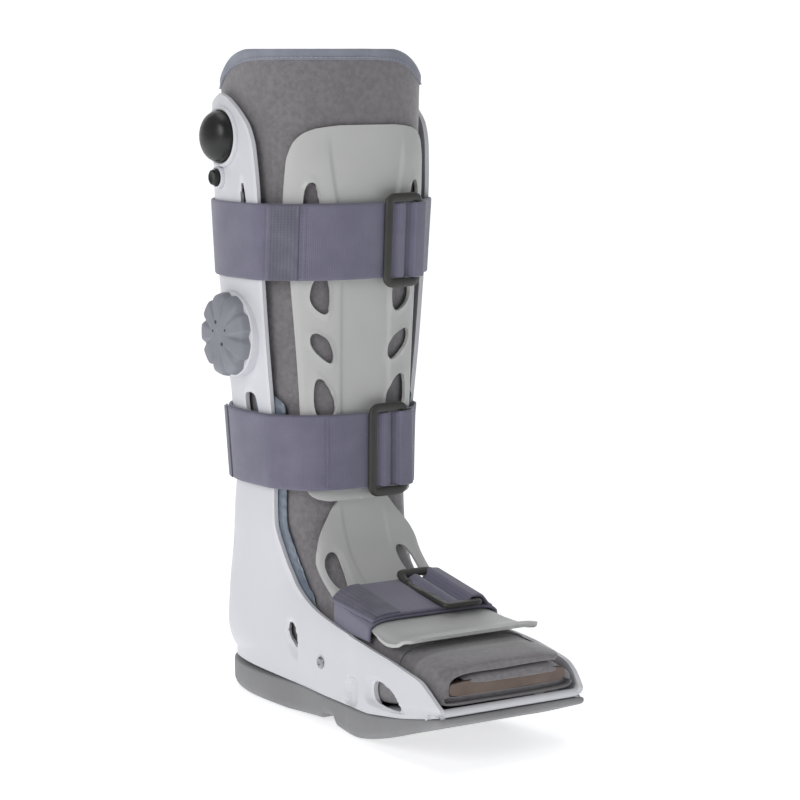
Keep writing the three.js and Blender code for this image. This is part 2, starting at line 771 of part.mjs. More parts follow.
function frameShape(x, y) {
  const shape = windowShape(x, y, buckleWidth, buckleLength, 0, 0.12);
  const inside = windowShape(x, y, buckleWidth - 2 * buckleBar, buckleLength - 2 * buckleBar, 0, 0.1);
  shape.holes.push(inside);
  return shape;
}

function makeLegBuckle(x, strapBottom) {
  const lift = strapOuter + strapThickness + fit;
  return skin(lift, lift + buckleThickness, shellSquareness)
    .intersect(frontPrism(frameShape(x, strapBottom + strapWidth / 2)));
}

function makeFootBuckle() {
  const lift = footStrapOuter + strapThickness + fit;
  const middle = -footStrapBack - strapWidth / 2;
  return skin(lift, lift + buckleThickness, footPlateSquareness)
    .intersect(planPrism(frameShape(footBuckleX, middle), toeFloor));
}

// Half width of the shell's outer face at a height on the leg.
function shellHalfAt(z) {
  const share = (z - ankleHeight) / (bootHeight - ankleHeight);
  const above = legRows.findLast(({ up }) => up >= share);
  const below = legRows.find(({ up }) => up < share);
  const half = mix(below.half, above.half, (share - below.up) / (above.up - below.up));
  return half * calfHalfWidth + shellOuter;
}

// A turned piece on the outer side of the leg: profile points are distance from the axis and
// distance outwards from the shell's widest face at that height.
function turned(profile, y, z) {
  const points = profile.map(([radius, out]) => new THREE.Vector2(radius, out));
  const geometry = new THREE.LatheGeometry(points, roundSides);
  geometry.rotateZ(Math.PI / 2);
  geometry.translate(-shellHalfAt(z), y, z);
  return toSolid(geometry);
}

function domeProfile(radius, base, proud) {
  const points = [[0, base], [radius, base]];
  for (let i = 1; i < domeSteps; i += 1) {
    const angle = (i / domeSteps) * (Math.PI / 2);
    points.push([radius * Math.cos(angle) ** domeFullness, base + (proud - base) * Math.sin(angle)]);
  }
  points.push([0, proud]);
  return points;
}

// A low ring seated on the shell; its root is trimmed to the shell's curve afterwards.
function collarProfile(radius) {
  const bevel = collarProud / 3;
  return [
    [0, -rootDepth],
    [radius, -rootDepth],
    [radius, collarProud - bevel],
    [radius - bevel, collarProud],
    [0, collarProud],
  ];
}

function makeBulbCollar() {
  return turned(collarProfile(bulbCollarRadius), bulbY, bulbZ).subtract(insideSeat);
}

function makeBulb() {
  return turned(domeProfile(bulbRadius, collarProud + fit, collarProud + bulbProud), bulbY, bulbZ);
}

function makeButtonCollar() {
  const radius = buttonRadius + fit;
  const bore = [[0, -reachFar], [radius, -reachFar], [radius, reachFar], [0, reachFar]];
  return turned(collarProfile(buttonCollarRadius), buttonY, buttonZ)
    .subtract(turned(bore, buttonY, buttonZ))
    .subtract(insideSeat);
}

function makeButton() {
  const base = buttonTravel + 2 * fit;
  const out = collarProud + buttonProud;
  const profile = [
    [0, base],
    [buttonRadius, base],
    [buttonRadius, out - buttonEdge],
    [buttonRadius - buttonEdge, out],
    [0, out],
  ];
  return turned(profile, buttonY, buttonZ);
}

function makeDialSeat() {
  const radius = dialSeatRadius;
  const face = dialSeatThickness;
  const tip = face + dialPinLength;
  const profile = [
    [0, -rootDepth],
    [radius, -rootDepth],
    [radius, face],
    [dialPinRadius, face],
    [dialPinRadius, tip],
    [0, tip],
  ];
  return turned(profile, dialY, dialZ).subtract(insideSeat);
}

function makeDialKnob() {
  const base = dialSeatThickness + fit;
  const top = dialSeatThickness + dialProud;
  const boreTip = dialSeatThickness + dialPinLength + fit;
  const radius = dialPinRadius + fit;
  const bore = [[0, -rootDepth], [radius, -rootDepth], [radius, boreTip], [0, boreTip]];
  let knob = turned(domeProfile(dialRadius, base, top), dialY, dialZ)
    .subtract(turned(bore, dialY, dialZ));
  for (let i = 0; i < gripCount; i += 1) {
    const angle = (i / gripCount) * 2 * Math.PI;
    const groove = new THREE.CylinderGeometry(gripRadius, gripRadius, reachFar, gripSides);
    groove.rotateZ(Math.PI / 2);
    const reach = dialRadius + gripRadius * (1 - gripDepth);
    const y = dialY + reach * Math.cos(angle);
    const z = dialZ + reach * Math.sin(angle);
    groove.translate(-shellHalfAt(dialZ) - reachFar / 2, y, z);
    knob = knob.subtract(toSolid(groove));
  }
  return knob;
}

function makeRivet() {
  const head = new THREE.CylinderGeometry(rivetRadius, rivetRadius, reachFar, roundSides);
  head.rotateZ(Math.PI / 2);
  head.translate(-reachFar / 2, rivetY, rivetZ);
  return toSolid(head)
    .intersect(bootForm(shellOuter + fit + rivetProud, true, shellSquareness))
    .subtract(insideSeat);
}

const pieces = [
  ['shell', makeShell(), finish.shell],
  ['outsole', makeOutsole(), finish.rubber],
  ['liner', makeLiner(), finish.liner],
  ['liner_binding', makeBinding(), finish.binding],
  ['toe_flap', makeToeFlap(), finish.liner],
  ['insole', makeInsole(), finish.foam],
  ['air_cell_outer', makeAirCell(-1), finish.vinyl],
  ['air_cell_inner', makeAirCell(1), finish.vinyl],
  ['shin_plate', makeShinPlate(), finish.plate],
  ['foot_plate', makeFootPlate(), finish.plate],
  ['upper_strap', makeLegStrap(upperStrapZ, upperBuckleX), finish.strap],
  ['lower_strap', makeLegStrap(lowerStrapZ, lowerBuckleX), finish.strap],
  ['foot_strap', makeFootStrap(), finish.strap],
  ['upper_buckle', makeLegBuckle(upperBuckleX, upperStrapZ), finish.hardware],
  ['lower_buckle', makeLegBuckle(lowerBuckleX, lowerStrapZ), finish.hardware],
  ['foot_buckle', makeFootBuckle(), finish.hardware],
  ['bulb_collar', makeBulbCollar(), finish.shell],
  ['pump_bulb', makeBulb(), finish.bulb],
  ['button_collar', makeButtonCollar(), finish.shell],
  ['release_button', makeButton(), finish.bulb],
  ['dial_seat', makeDialSeat(), finish.shell],
  ['dial_knob', makeDialKnob(), finish.dial],
  ['rivet', makeRivet(), finish.metal],
];

const walkingBoot = new THREE.Group();
pieces.forEach(([name, solid, look]) => {
  const mesh = new THREE.Mesh(toGeometry(solid), new THREE.MeshStandardMaterial(look));
  mesh.name = name;
  walkingBoot.add(mesh);
});

export default walkingBoot;
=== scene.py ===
"""Dresses a tall medical walking boot: its shell, sole, liner, plates, straps and controls.

Shapes are worked out in millimetres and put into meshes in metres, in the frame's own axes:
+Z up, toe towards -Y, outer side of the leg with its controls towards -X.
"""

import logging
import math
from collections.abc import Callable, Iterable
from dataclasses import KW_ONLY, dataclass, field
from enum import Enum

import bmesh
import bpy
import numpy as np
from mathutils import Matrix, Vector


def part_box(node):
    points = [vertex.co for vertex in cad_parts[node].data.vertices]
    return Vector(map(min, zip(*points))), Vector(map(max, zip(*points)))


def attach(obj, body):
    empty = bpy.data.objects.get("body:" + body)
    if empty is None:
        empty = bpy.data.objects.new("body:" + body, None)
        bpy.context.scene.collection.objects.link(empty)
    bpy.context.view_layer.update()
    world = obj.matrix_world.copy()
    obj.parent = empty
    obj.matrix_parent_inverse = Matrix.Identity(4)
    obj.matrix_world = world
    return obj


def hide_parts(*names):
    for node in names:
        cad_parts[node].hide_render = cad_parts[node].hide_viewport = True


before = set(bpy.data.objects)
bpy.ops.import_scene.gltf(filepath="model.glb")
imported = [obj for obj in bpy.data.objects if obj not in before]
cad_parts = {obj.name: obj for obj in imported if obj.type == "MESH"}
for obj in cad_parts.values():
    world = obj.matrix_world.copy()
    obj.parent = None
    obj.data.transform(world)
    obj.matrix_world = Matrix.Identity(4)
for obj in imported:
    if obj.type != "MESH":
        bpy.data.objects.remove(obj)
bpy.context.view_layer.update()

Array = np.ndarray
Piece = bpy.types.Object
Socket = bpy.types.NodeSocket
Pair = tuple[float, float]
Triple = tuple[float, float, float]
Shade = Socket | tuple[float, float, float, float]

log = logging.getLogger("walking_boot")

MM = 0.001

# In millimetres: how near two points lie on a seam that is closed, how far the shell's outer
# face stands off the liner's, and the least squareness of its walls.
SEAM = 0.001
SHELL_OUT = 6.1
SHELL_SQUARE = 3.6

# The axes that a view from the side and a view from the front show.
SIDE_VIEW = (1, 2)
FRONT_VIEW = (0, 2)


class Side(Enum):
    """The side of the leg that a piece is on, as the sign of its X."""

    OUTER = -1
    INNER = 1


class Slot(Enum):
    """The record's material slots."""

    SHELL = "shell_plastic"
    PLATE = "plate_plastic"
    SOLE = "sole_rubber"
    LINER = "liner_cloth"
    BINDING = "binding_cloth"
    INSOLE = "insole_foam"
    CELL = "cell_vinyl"
    STRAP = "strap_webbing"
    BUCKLE = "buckle_plastic"
    BULB = "bulb_rubber"
    DIAL = "dial_plastic"
    RIVET = "rivet_steel"


def node_box(node: str) -> tuple[Array, Array]:
    """A CAD node's lowest and highest corner.

    Args:
        node: the node's name.

    Returns:
        The two corners in millimetres.
    """
    low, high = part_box(node)
    return np.array(low) / MM, np.array(high) / MM


def column(rows: list, name: str) -> Array:
    """One named column of a table of rows as an array."""
    return np.array([getattr(row, name) for row in rows], float)


def smooth_table(knots: Array, values: Array, at: Array) -> Array:
    """Reads a table between its rows along a smooth curve that never overshoots.

    The curve is a cubic between each two rows whose slope at a row is the harmonic mean of
    the slopes on both sides, or zero where they differ in sign.

    Args:
        knots: increasing places of the rows.
        values: the values at the rows.
        at: the places to read.

    Returns:
        The values at those places.
    """
    knots, values, at = (np.asarray(a, float) for a in (knots, values, at))
    step = np.diff(knots)
    slope = np.diff(values) / step
    before, after = slope[:-1], slope[1:]
    same = before * after > 0
    inner = np.where(same, 2 * before * after / np.where(same, before + after, 1), 0)
    bend = np.concatenate([slope[:1], inner, slope[-1:]])
    index = np.clip(np.searchsorted(knots, at, side="right") - 1, 0, len(step) - 1)
    h = step[index]
    t = np.clip((at - knots[index]) / h, 0, 1)
    start, end = values[index], values[index + 1]
    return (
        start * (1 + 2 * t) * (1 - t) ** 2
        + h * bend[index] * t * (1 - t) ** 2
        + end * t * t * (3 - 2 * t)
        - h * bend[index + 1] * t * t * (1 - t)
    )


def ease(value: Array) -> Array:
    """A smooth step from 0 to 1 while the value goes from 0 to 1."""
    t = np.clip(value, 0, 1)
    return t * t * (3 - 2 * t)


@dataclass(frozen=True)
class LegRow:
    """A level section of the leg: all but square are shares of the calf's sizes."""

    up: float
    half: float
    front: float
    back: float
    square: float


@dataclass(frozen=True)
class FanRow:
    """A section that fans out from the instep's centre, turned down by turn degrees."""

    turn: float
    near: float
    far: float
    half: float
    round: float
    widest: float


@dataclass(frozen=True)
class FootRow:
    """An upright section of the foot, along it from the instep's centre to the lip."""

    along: float
    half: float
    rise: float
    height: float


LEG_ROWS = [LegRow(*row) for row in (
    (1.0, 1.0, 1.0, 1.0, 2.5), (0.66, 0.95, 0.96, 1.0, 2.6), (0.49, 0.905, 0.915, 0.985, 2.6),
    (0.33, 0.85, 0.895, 0.94, 2.7), (0.17, 0.775, 0.885, 0.89, 3.0),
    (0.0, 0.69, 0.875, 0.93, 3.9))]
FAN_ROWS = [FanRow(*row) for row in (
    (14, 0.92, 0.945, 1.12, 2.3, 0.52), (26, 0.95, 0.985, 1.09, 2.4, 0.56),
    (34, 0.965, 1.0, 1.07, 2.6, 0.6), (39, 0.975, 1.0, 1.05, 3.2, 0.66),
    (50, 0.99, 1.0, 1.04, 4.5, 0.7), (63, 1.01, 1.0, 1.04, 5.0, 0.72),
    (77, 1.035, 1.0, 1.07, 5.5, 0.74))]
FOOT_ROWS = [FootRow(*row) for row in (
    (0.0, 0.89, 0.02, 1.0), (0.18, 0.94, 0.07, 0.78), (0.36, 0.98, 0.2, 0.55),
    (0.62, 1.0, 0.55, 0.27), (0.85, 1.0, 0.88, 0.1), (1.0, 0.955, 1.0, 0.0))]


@dataclass
class BootForm:
    """The boot's main form: one family of rounded sections from the rim to the toe.

    A place on it is a station (a row of the tables, with smooth values between rows) and an
    angle round the section: 0 at the calf, heel and sole, pi at the shin and instep, and
    positive towards the inner side of the leg. Every layer of the boot is this form grown
    by a distance.
    """

    calf_half: float = 66.0
    calf_front: float = 56.0
    calf_back: float = 62.0
    ankle: float = 150.0
    instep_forward: float = 110.0
    instep_radius: float = 70.0
    heel_back: float = 70.5
    heel_half: float = 41.0
    ball_half: float = 51.0
    toe_spring: float = 15.0
    toe_height: float = 25.0
    rim_dip: float = 25.0
    rim_curve: float = 8.0
    rim_radius: float = 69.0
    rim_turn: Pair = (0.829, -0.559)
    leg_back_square: float = 2.2
    upper_square: float = 4.5
    sole_square: float = 6.0
    heel_corner: float = 18.0
    height: float = field(init=False)
    toe_reach: float = field(init=False)
    underside: float = field(init=False)
    tables: dict[str, Array] = field(init=False)

    def __post_init__(self) -> None:
        """Reads the frame's sizes and lays the three tables end to end."""
        self.height = node_box("liner")[1][2]
        self.toe_reach = -node_box("shell")[0][1]
        self.underside = node_box("liner")[0][2]
        leg, fan, foot = len(LEG_ROWS), len(FAN_ROWS), len(FOOT_ROWS)
        near_end = FAN_ROWS[-1].near
        top_end = self.ankle - self.instep_radius * near_end
        toe_top = self.underside + self.toe_spring + self.toe_height
        foot_top = toe_top + (top_end - toe_top) * column(FOOT_ROWS, "height")
        up, along = column(LEG_ROWS, "up"), column(FOOT_ROWS, "along")
        forward = -self.instep_forward
        self.tables = {
            "y": np.concatenate([
                np.full(leg + fan, forward), forward + along * (-self.toe_reach - forward)]),
            "z": np.concatenate([
                self.ankle + up * (self.height - self.ankle), np.full(fan + foot, self.ankle)]),
            "turn": np.radians(np.concatenate([
                np.zeros(leg), column(FAN_ROWS, "turn"), np.full(foot, 90.0)])),
            "near": np.concatenate([
                self.instep_forward - column(LEG_ROWS, "front") * self.calf_front,
                column(FAN_ROWS, "near") * self.instep_radius, self.ankle - foot_top]),
            "behind": np.concatenate([
                column(LEG_ROWS, "back") * self.calf_back, np.full(fan + foot, self.heel_back)]),
            "share": np.concatenate([np.ones(leg), column(FAN_ROWS, "far"), np.ones(foot)]),
            "rise": np.concatenate([
                np.zeros(leg + fan), column(FOOT_ROWS, "rise") * self.toe_spring]),
            "half": np.concatenate([
                column(LEG_ROWS, "half") * self.calf_half,
                column(FAN_ROWS, "half") * self.heel_half,
                column(FOOT_ROWS, "half") * self.ball_half]),
            "front_square": np.concatenate([
                column(LEG_ROWS, "square"), np.full(fan + foot, self.upper_square)]),
            "back_square": np.concatenate([
                np.full(leg, self.leg_back_square), column(FAN_ROWS, "round"),
                np.full(foot, self.sole_square)]),
            "widest": np.concatenate([
                np.full(leg, 0.5), column(FAN_ROWS, "widest"), np.full(foot, 0.7)]),
        }

    @property
    def last(self) -> float:
        """The station of the toe."""
        return len(self.tables["y"]) - 1.0

    def read(self, name: str, station: Array) -> Array:
        """One value of the tables at any stations."""
        values = self.tables[name]
        return smooth_table(np.arange(len(values)), values, station)

    def reaches(self, station: Array) -> tuple[Array, Array]:
        """Distances from the section's origin to its near and far side.

        The far side is the heel's back or the sole, whichever is nearer, with the corner
        between them rounded by a power mean of the two.

        Args:
            station: stations, of any shape.

        Returns:
            The distances to the near and to the far side.
        """
        turn = self.read("turn", station)
        behind = self.instep_forward + self.read("behind", station)
        to_heel = behind / np.maximum(np.cos(turn), 1e-3)
        to_sole = (self.ankle - self.underside) / np.maximum(np.sin(turn), 1e-3)
        power = self.heel_corner
        nearest = (to_heel**-power + to_sole**-power) ** (-1 / power)
        far = self.read("share", station) * nearest - self.read("rise", station)
        return self.read("near", station), far

    def spans(self, station: Array) -> tuple[Array, Array, Array]:
        """Distances from the section's origin to its near side, widest place and far side."""
        near, far = self.reaches(station)
        return near, near + (far - near) * self.read("widest", station), far

    def place(self, station: Array, along: Array, x: Array) -> Array:
        """Points at a distance along their section's own line and sideways by x."""
        turn = self.read("turn", station)
        y = self.read("y", station) + along * np.cos(turn)
        z = self.read("z", station) - along * np.sin(turn)
        return np.stack(np.broadcast_arrays(x, y, z), axis=-1)

    def ring(self, station: Array, angle: Array, grow: Array = 0.0,
             square: float = 0.0) -> Array:
        """Points round the sections: a superellipse in polar form whose two halves differ.

        Args:
            station: stations, of any shape.
            angle: angles round the section, of a shape that goes with it.
            grow: distance outwards from the liner's face.
            square: least squareness of the front half, for walls that run straight forward.

        Returns:
            The points, with a last axis of 3.
        """
        station, angle = np.broadcast_arrays(station, angle)
        near, middle, far = self.spans(station)
        c, s = np.cos(angle), np.sin(angle)
        front = np.maximum(self.read("front_square", station), square)
        power = np.where(c > 0, self.read("back_square", station), front)
        polar = (np.abs(c) ** power + np.abs(s) ** power) ** (-1 / power)
        reach = np.where(c > 0, far - middle, middle - near) + grow
        half = self.read("half", station) + grow
        return self.place(station, middle + reach * c * polar, half * s * polar)

    def front(self, station: Array, x: Array, grow: Array = 0.0,
              square: float = 0.0) -> Array:
        """Points on the shin and instep side at a sideways distance x.

        Args:
            station: stations, of any shape.
            x: sideways distances, of a shape that goes with it.
            grow: distance outwards from the liner's face.
            square: least squareness of the front half.

        Returns:
            The points, with a last axis of 3.
        """
        station, x = np.broadcast_arrays(station, x)
        near, middle, _ = self.spans(station)
        power = np.maximum(self.read("front_square", station), square)
        half = self.read("half", station) + grow
        share = (1 - np.clip(np.abs(x) / half, 0, 0.94) ** power) ** (1 / power)
        return self.place(station, middle - (middle - near + grow) * share, x)

    def front_where(self, weights: Pair, target: Array, x: Array,
                    grow: float = 0.0, square: float = 0.0, first: float = 0.0) -> Array:
        """Stations where the front's y and z, weighed and added, come to a target.

        The interval of stations is halved again and again for all points at once.

        Args:
            weights: the weights of y and z.
            target: the sum wanted at each point, falling from rim to toe.
            x: sideways distances.
            grow: distance outwards from the liner's face.
            square: least squareness of the front half.
            first: the lowest station looked at.

        Returns:
            The stations.
        """
        target, x = np.broadcast_arrays(target, x)
        low, high = np.full(x.shape, first), np.full(x.shape, self.last)
        for _ in range(20):
            middle = (low + high) / 2
            place = self.front(middle, x, grow, square)
            before = place[..., 1] * weights[0] + place[..., 2] * weights[1] > target
            low, high = np.where(before, middle, low), np.where(before, high, middle)
        return (low + high) / 2

    def sideways(self, station: Array, along: Array, grow: Array
                 ) -> tuple[Array, Array]:
        """Where a distance along a section's own line lies on the section.

        Args:
            station: the sections' stations.
            along: distances along their lines.
            grow: distance outwards from the liner's face.

        Returns:
            The distance past the widest place as a share of the reach there, and the
            section's sideways distance as a share of its half width.
        """
        near, middle, far = self.spans(station)
        ahead = along < middle
        reach = np.where(ahead, middle - near, far - middle) + grow
        share = np.clip((along - middle) / reach, -0.999, 0.999)
        front = np.maximum(self.read("front_square", station), SHELL_SQUARE)
        power = np.where(ahead, front, self.read("back_square", station))
        return share, (1 - np.abs(share) ** power) ** (1 / power)

    def station_at(self, name: str, value: Array, first: int, last: int) -> Array:
        """The station between two rows where a table has the given value.

        Args:
            name: the table's column.
            value: the values looked for.
            first: the first row.
            last: the last row.

        Returns:
            The stations.
        """
        fine = np.linspace(first, last, 400)
        found = self.read(name, fine)
        order = np.argsort(found)
        return np.interp(value, found[order], fine[order])

    def at_height(self, z: Array) -> Array:
        """The station of a level section of the leg."""
        return self.station_at("z", z, 0, len(LEG_ROWS) - 1)

    def at_side(self, y: Array, z: Array) -> tuple[Array, Array]:
        """The station through points of the side view.

        Args:
            y: their places along the foot.
            z: their heights.

        Returns:
            The stations, and the points' distances along their sections.
        """
        y, z = np.asarray(y, float), np.asarray(z, float)
        ahead, below = y + self.instep_forward, self.ankle - z
        turn = np.arctan2(below, ahead)
        fan = self.station_at("turn", turn, len(LEG_ROWS) - 1, len(LEG_ROWS) + len(FAN_ROWS))
        foot = self.station_at("y", y, len(LEG_ROWS) + len(FAN_ROWS), int(self.last))
        station = np.where(z > self.ankle, self.at_height(z), np.where(ahead > 0, fan, foot))
        along = np.where(z > self.ankle, ahead, np.where(ahead > 0, np.hypot(ahead, below), below))
        return station, along

    def rim_height(self, x: Array, y: Array) -> Array:
        """Height of the liner's rim, which dips behind one side and ahead of the other."""
        across = self.rim_turn[0] * x + self.rim_turn[1] * y
        share = np.clip(np.abs(across) / self.rim_radius, 0, 1)
        return self.height - self.rim_dip * share**self.rim_curve


FORM = BootForm()


@dataclass
class SolePlan:
    """The sole's outline seen from above: half widths from the heel's back to the toe."""

    grow: float = 6.9
    heel_start: float = -4.2
    heel_power: float = 0.84
    toe: float = -218.6
    toe_round: float = 2.4
    centre: float = -70.0
    half: Array = field(init=False)
    y: Array = field(init=False)

    def __post_init__(self) -> None:
        """Takes the sides from the form's sections and closes the heel on a superellipse."""
        station = np.linspace(len(LEG_ROWS), FORM.last, 500)
        _, far = FORM.reaches(station)
        sole = FORM.place(station, far, np.zeros_like(station))
        ahead = sole[:, 1] < self.heel_start
        y = sole[ahead, 1] * (self.toe + self.toe_round) / sole[-1, 1]
        half = FORM.read("half", station)[ahead] + self.grow
        turn = np.linspace(0, np.pi / 2, 90, endpoint=False)
        back = FORM.heel_back + self.grow - y[0]
        corner = np.linspace(0, np.pi / 2, 8)[1:]
        self.y = np.concatenate([y[0] + back * np.cos(turn) ** self.heel_power, y,
                                 y[-1] - self.toe_round * np.sin(corner)])
        self.half = np.concatenate([half[0] * np.sin(turn) ** self.heel_power, half,
                                    half[-1] - self.toe_round * (1 - np.cos(corner))])

    def ratio(self, x: Array, y: Array) -> Array:
        """Distance of points from the plan's middle as a share of the outline's distance.

        Args:
            x: their sideways places.
            y: their places along the foot.

        Returns:
            The shares: below 1 inside the outline.
        """
        half = np.append(self.half, self.half[-1] * np.array([0.75, 0.5, 0.25, 0.0]))
        y_line = np.append(self.y, np.full(4, self.y[-1]))
        turn = np.arctan2(half, y_line - self.centre)
        reach = np.hypot(half, y_line - self.centre)
        here = np.arctan2(np.abs(x), y - self.centre)
        return np.hypot(x, y - self.centre) / np.interp(here, turn, reach)


PLAN = SolePlan()


def unit(vectors: Array) -> Array:
    """Vectors of length 1 in the same directions."""
    return vectors / np.maximum(np.linalg.norm(vectors, axis=-1, keepdims=True), 1e-9)


def circle(count: int) -> Array:
    """Angles spaced evenly right round a circle."""
    return np.linspace(0, 2 * np.pi, count, endpoint=False)


def grid_faces(rows: int, cols: int, wrap: bool = False) -> Array:
    """Quads of a grid of points, row by row.

    Args:
        rows: points down.
        cols: points across.
        wrap: whether the last column joins the first.

    Returns:
        An array of four point numbers a face.
    """
    index = np.arange(rows * cols).reshape(rows, cols)
    if wrap:
        index = np.concatenate([index, index[:, :1]], axis=1)
    corners = [index[:-1, :-1], index[:-1, 1:], index[1:, 1:], index[1:, :-1]]
    return np.stack([c.ravel() for c in corners], axis=1)


def grid_normals(points: Array) -> Array:
    """Unit normals of a grid, from the differences between its neighbours."""
    across = np.gradient(points, axis=1)
    down = np.gradient(points, axis=0)
    return unit(np.cross(across, down))


def rounded(corners: list[Pair], times: int = 3) -> Array:
    """Cuts the corners of a closed outline again and again, which rounds it.

    Each pass puts two points on every edge, a quarter of the way from either end.

    Args:
        corners: the outline's corners.
        times: how many passes.

    Returns:
        The rounded outline.
    """
    outline = np.array(corners, float)
    for _ in range(times):
        after = np.roll(outline, -1, axis=0)
        outline = np.stack([0.75 * outline + 0.25 * after, 0.25 * outline + 0.75 * after], 1)
        outline = outline.reshape(-1, 2)
    return outline


def outline_distance(points: Array, outline: Array) -> tuple[Array, Array]:
    """How far points lie from a closed outline, by their nearest place on each of its edges.

    Args:
        points: pairs of coordinates.
        outline: the outline's corners.

    Returns:
        The distances, negative inside, and the nearest points on the outline.
    """
    start, end = outline, np.roll(outline, -1, axis=0)
    edge = end - start
    offset = points[:, None, :] - start[None]
    share = np.clip((offset * edge).sum(-1) / (edge**2).sum(-1), 0, 1)
    nearest = start + share[..., None] * edge
    distance = np.linalg.norm(points[:, None, :] - nearest, axis=-1)
    best = distance.argmin(axis=1)
    rows = np.arange(len(points))
    up, down = start[:, 1] <= points[:, None, 1], end[:, 1] <= points[:, None, 1]
    side = edge[:, 0] * offset[..., 1] - edge[:, 1] * offset[..., 0]
    winding = (up & ~down & (side > 0)).sum(1) - (~up & down & (side < 0)).sum(1)
    sign = np.where(winding != 0, -1, 1)
    return sign * distance[rows, best], nearest[rows, best]


@dataclass
class Surface:
    """A grid of points in millimetres with its faces, which holes can be cut out of."""

    points: Array
    wrap: bool = False
    flip: bool = False
    uv: Array | None = None
    faces: Array = field(init=False)

    def __post_init__(self) -> None:
        """Makes the faces and turns them outwards."""
        rows, cols = self.points.shape[:2]
        self.faces = grid_faces(rows, cols, self.wrap)
        if self.flip:
            self.faces = self.faces[:, ::-1]
        self.normals = grid_normals(self.points).reshape(-1, 3)
        self.points = self.points.reshape(-1, 3)
        if self.uv is not None:
            self.uv = self.uv.reshape(-1, 2)

    def near(self, outline: Array, axes: tuple[int, int]) -> Array:
        """Numbers of the points close to an outline in the plane of two axes."""
        plane = self.points[:, axes]
        inside = (plane > outline.min(0) - 4) & (plane < outline.max(0) + 4)
        return np.flatnonzero(inside.all(axis=1))

    def sink(self, outline: Array, depth: float, slope: float) -> None:
        """Presses both sides in within an outline of the side view, towards the leg's middle.

        Args:
            outline: the closed outline.
            depth: how far it is pressed in.
            slope: width of the eased border, inside the outline.
        """
        near = self.near(outline, SIDE_VIEW)
        distance, _ = outline_distance(self.points[near][:, SIDE_VIEW], outline)
        self.points[near, 0] -= np.sign(self.points[near, 0]) * depth * ease(-distance / slope)

    def cut(self, outline: Array, axes: tuple[int, int]) -> None:
        """Cuts a hole: drops the faces inside and draws the edge onto the outline.

        A point that is drawn sideways also moves along the third axis, as the surface's own
        slope there asks.

        Args:
            outline: the closed outline.
            axes: the axes of its plane.
        """
        near = self.near(outline, axes)
        distance = np.full(len(self.points), 1e3)
        nearest = self.points[:, axes].copy()
        distance[near], nearest[near] = outline_distance(self.points[near][:, axes], outline)
        inside = distance[self.faces].mean(axis=1) < 0
        dropped, kept = self.faces[inside], self.faces[~inside]
        stray = np.flatnonzero((distance < 0) & np.isin(np.arange(len(distance)), kept))
        edge = np.union1d(np.intersect1d(dropped, kept), stray)
        move = nearest[edge] - self.points[edge][:, axes]
        third = 3 - sum(axes)
        normal = self.normals[edge]
        lean = np.where(np.abs(normal[:, third]) < 0.2, 1e9, normal[:, third])
        follow = (normal[:, axes] * move).sum(1) / lean
        self.points[edge, third] -= np.clip(follow, -2, 2)
        self.points[np.ix_(edge, axes)] += move
        self.faces = kept

    def piece(self, name: str) -> Piece:
        """The surface as an object."""
        return add_piece(name, self.points, self.faces, self.uv)


def add_piece(name: str, points: Array, faces: Array, uv: Array | None = None
              ) -> Piece:
    """Makes an object from points in millimetres, smooth shaded, without unused points.

    Args:
        name: the piece's name.
        points: its points.
        faces: rows of three or four point numbers.
        uv: a coordinate pair a point, in millimetres along the surface, if a pattern needs it.

    Returns:
        The new object, linked to the scene.
    """
    used, faces = np.unique(faces, return_inverse=True)
    faces = faces.reshape(-1, faces.shape[-1]) if faces.ndim > 1 else faces.reshape(-1, 4)
    mesh = bpy.data.meshes.new(name)
    count, size = faces.shape
    mesh.vertices.add(len(used))
    mesh.vertices.foreach_set("co", (points[used] * MM).astype(np.float32).ravel())
    mesh.loops.add(count * size)
    mesh.loops.foreach_set("vertex_index", faces.astype(np.int32).ravel())
    mesh.polygons.add(count)
    mesh.polygons.foreach_set("loop_start", np.arange(0, count * size, size, dtype=np.int32))
    mesh.polygons.foreach_set("use_smooth", np.ones(count, bool))
    if uv is not None:
        layer = mesh.uv_layers.new(name="cloth")
        layer.data.foreach_set("uv", (uv[used][faces.ravel()] * MM).astype(np.float32).ravel())
    mesh.update()
    mesh.validate()
    piece = bpy.data.objects.new(name, mesh)
    bpy.context.scene.collection.objects.link(piece)
    return piece


def reworked(piece: Piece, work: Callable[[bmesh.types.BMesh], dict]) -> None:
    """Does some work on a piece's mesh and turns all its faces outwards.

    Args:
        piece: the piece.
        work: what is done to its mesh.
    """
    shape = bmesh.new()
    shape.from_mesh(piece.data)
    work(shape)
    bmesh.ops.recalc_face_normals(shape, faces=shape.faces)
    shape.to_mesh(piece.data)
    shape.free()


def weld(piece: Piece, distance: float = SEAM) -> None:
    """Joins points that lie on each other, so seams and poles are closed."""
    reworked(piece, lambda shape: bmesh.ops.remove_doubles(
        shape, verts=shape.verts, dist=distance * MM))


def close_ends(piece: Piece) -> None:
    """Fills a piece's open ends."""
    reworked(piece, lambda shape: bmesh.ops.holes_fill(
        shape, edges=[edge for edge in shape.edges if edge.is_boundary], sides=0))


def wall(piece: Piece, thickness: float, edge: float = 0.5, segments: int = 2) -> None:
    """Turns a surface into a wall, inwards from its face, with rounded edges.

    Args:
        piece: the piece.
        thickness: the wall's thickness.
        edge: the radius of its edges.
        segments: faces across an edge.
    """
    solid = piece.modifiers.new("wall", "SOLIDIFY")
    solid.thickness = thickness * MM
    solid.offset = -1
    solid.use_quality_normals = True
    round_edges(piece, edge, segments)


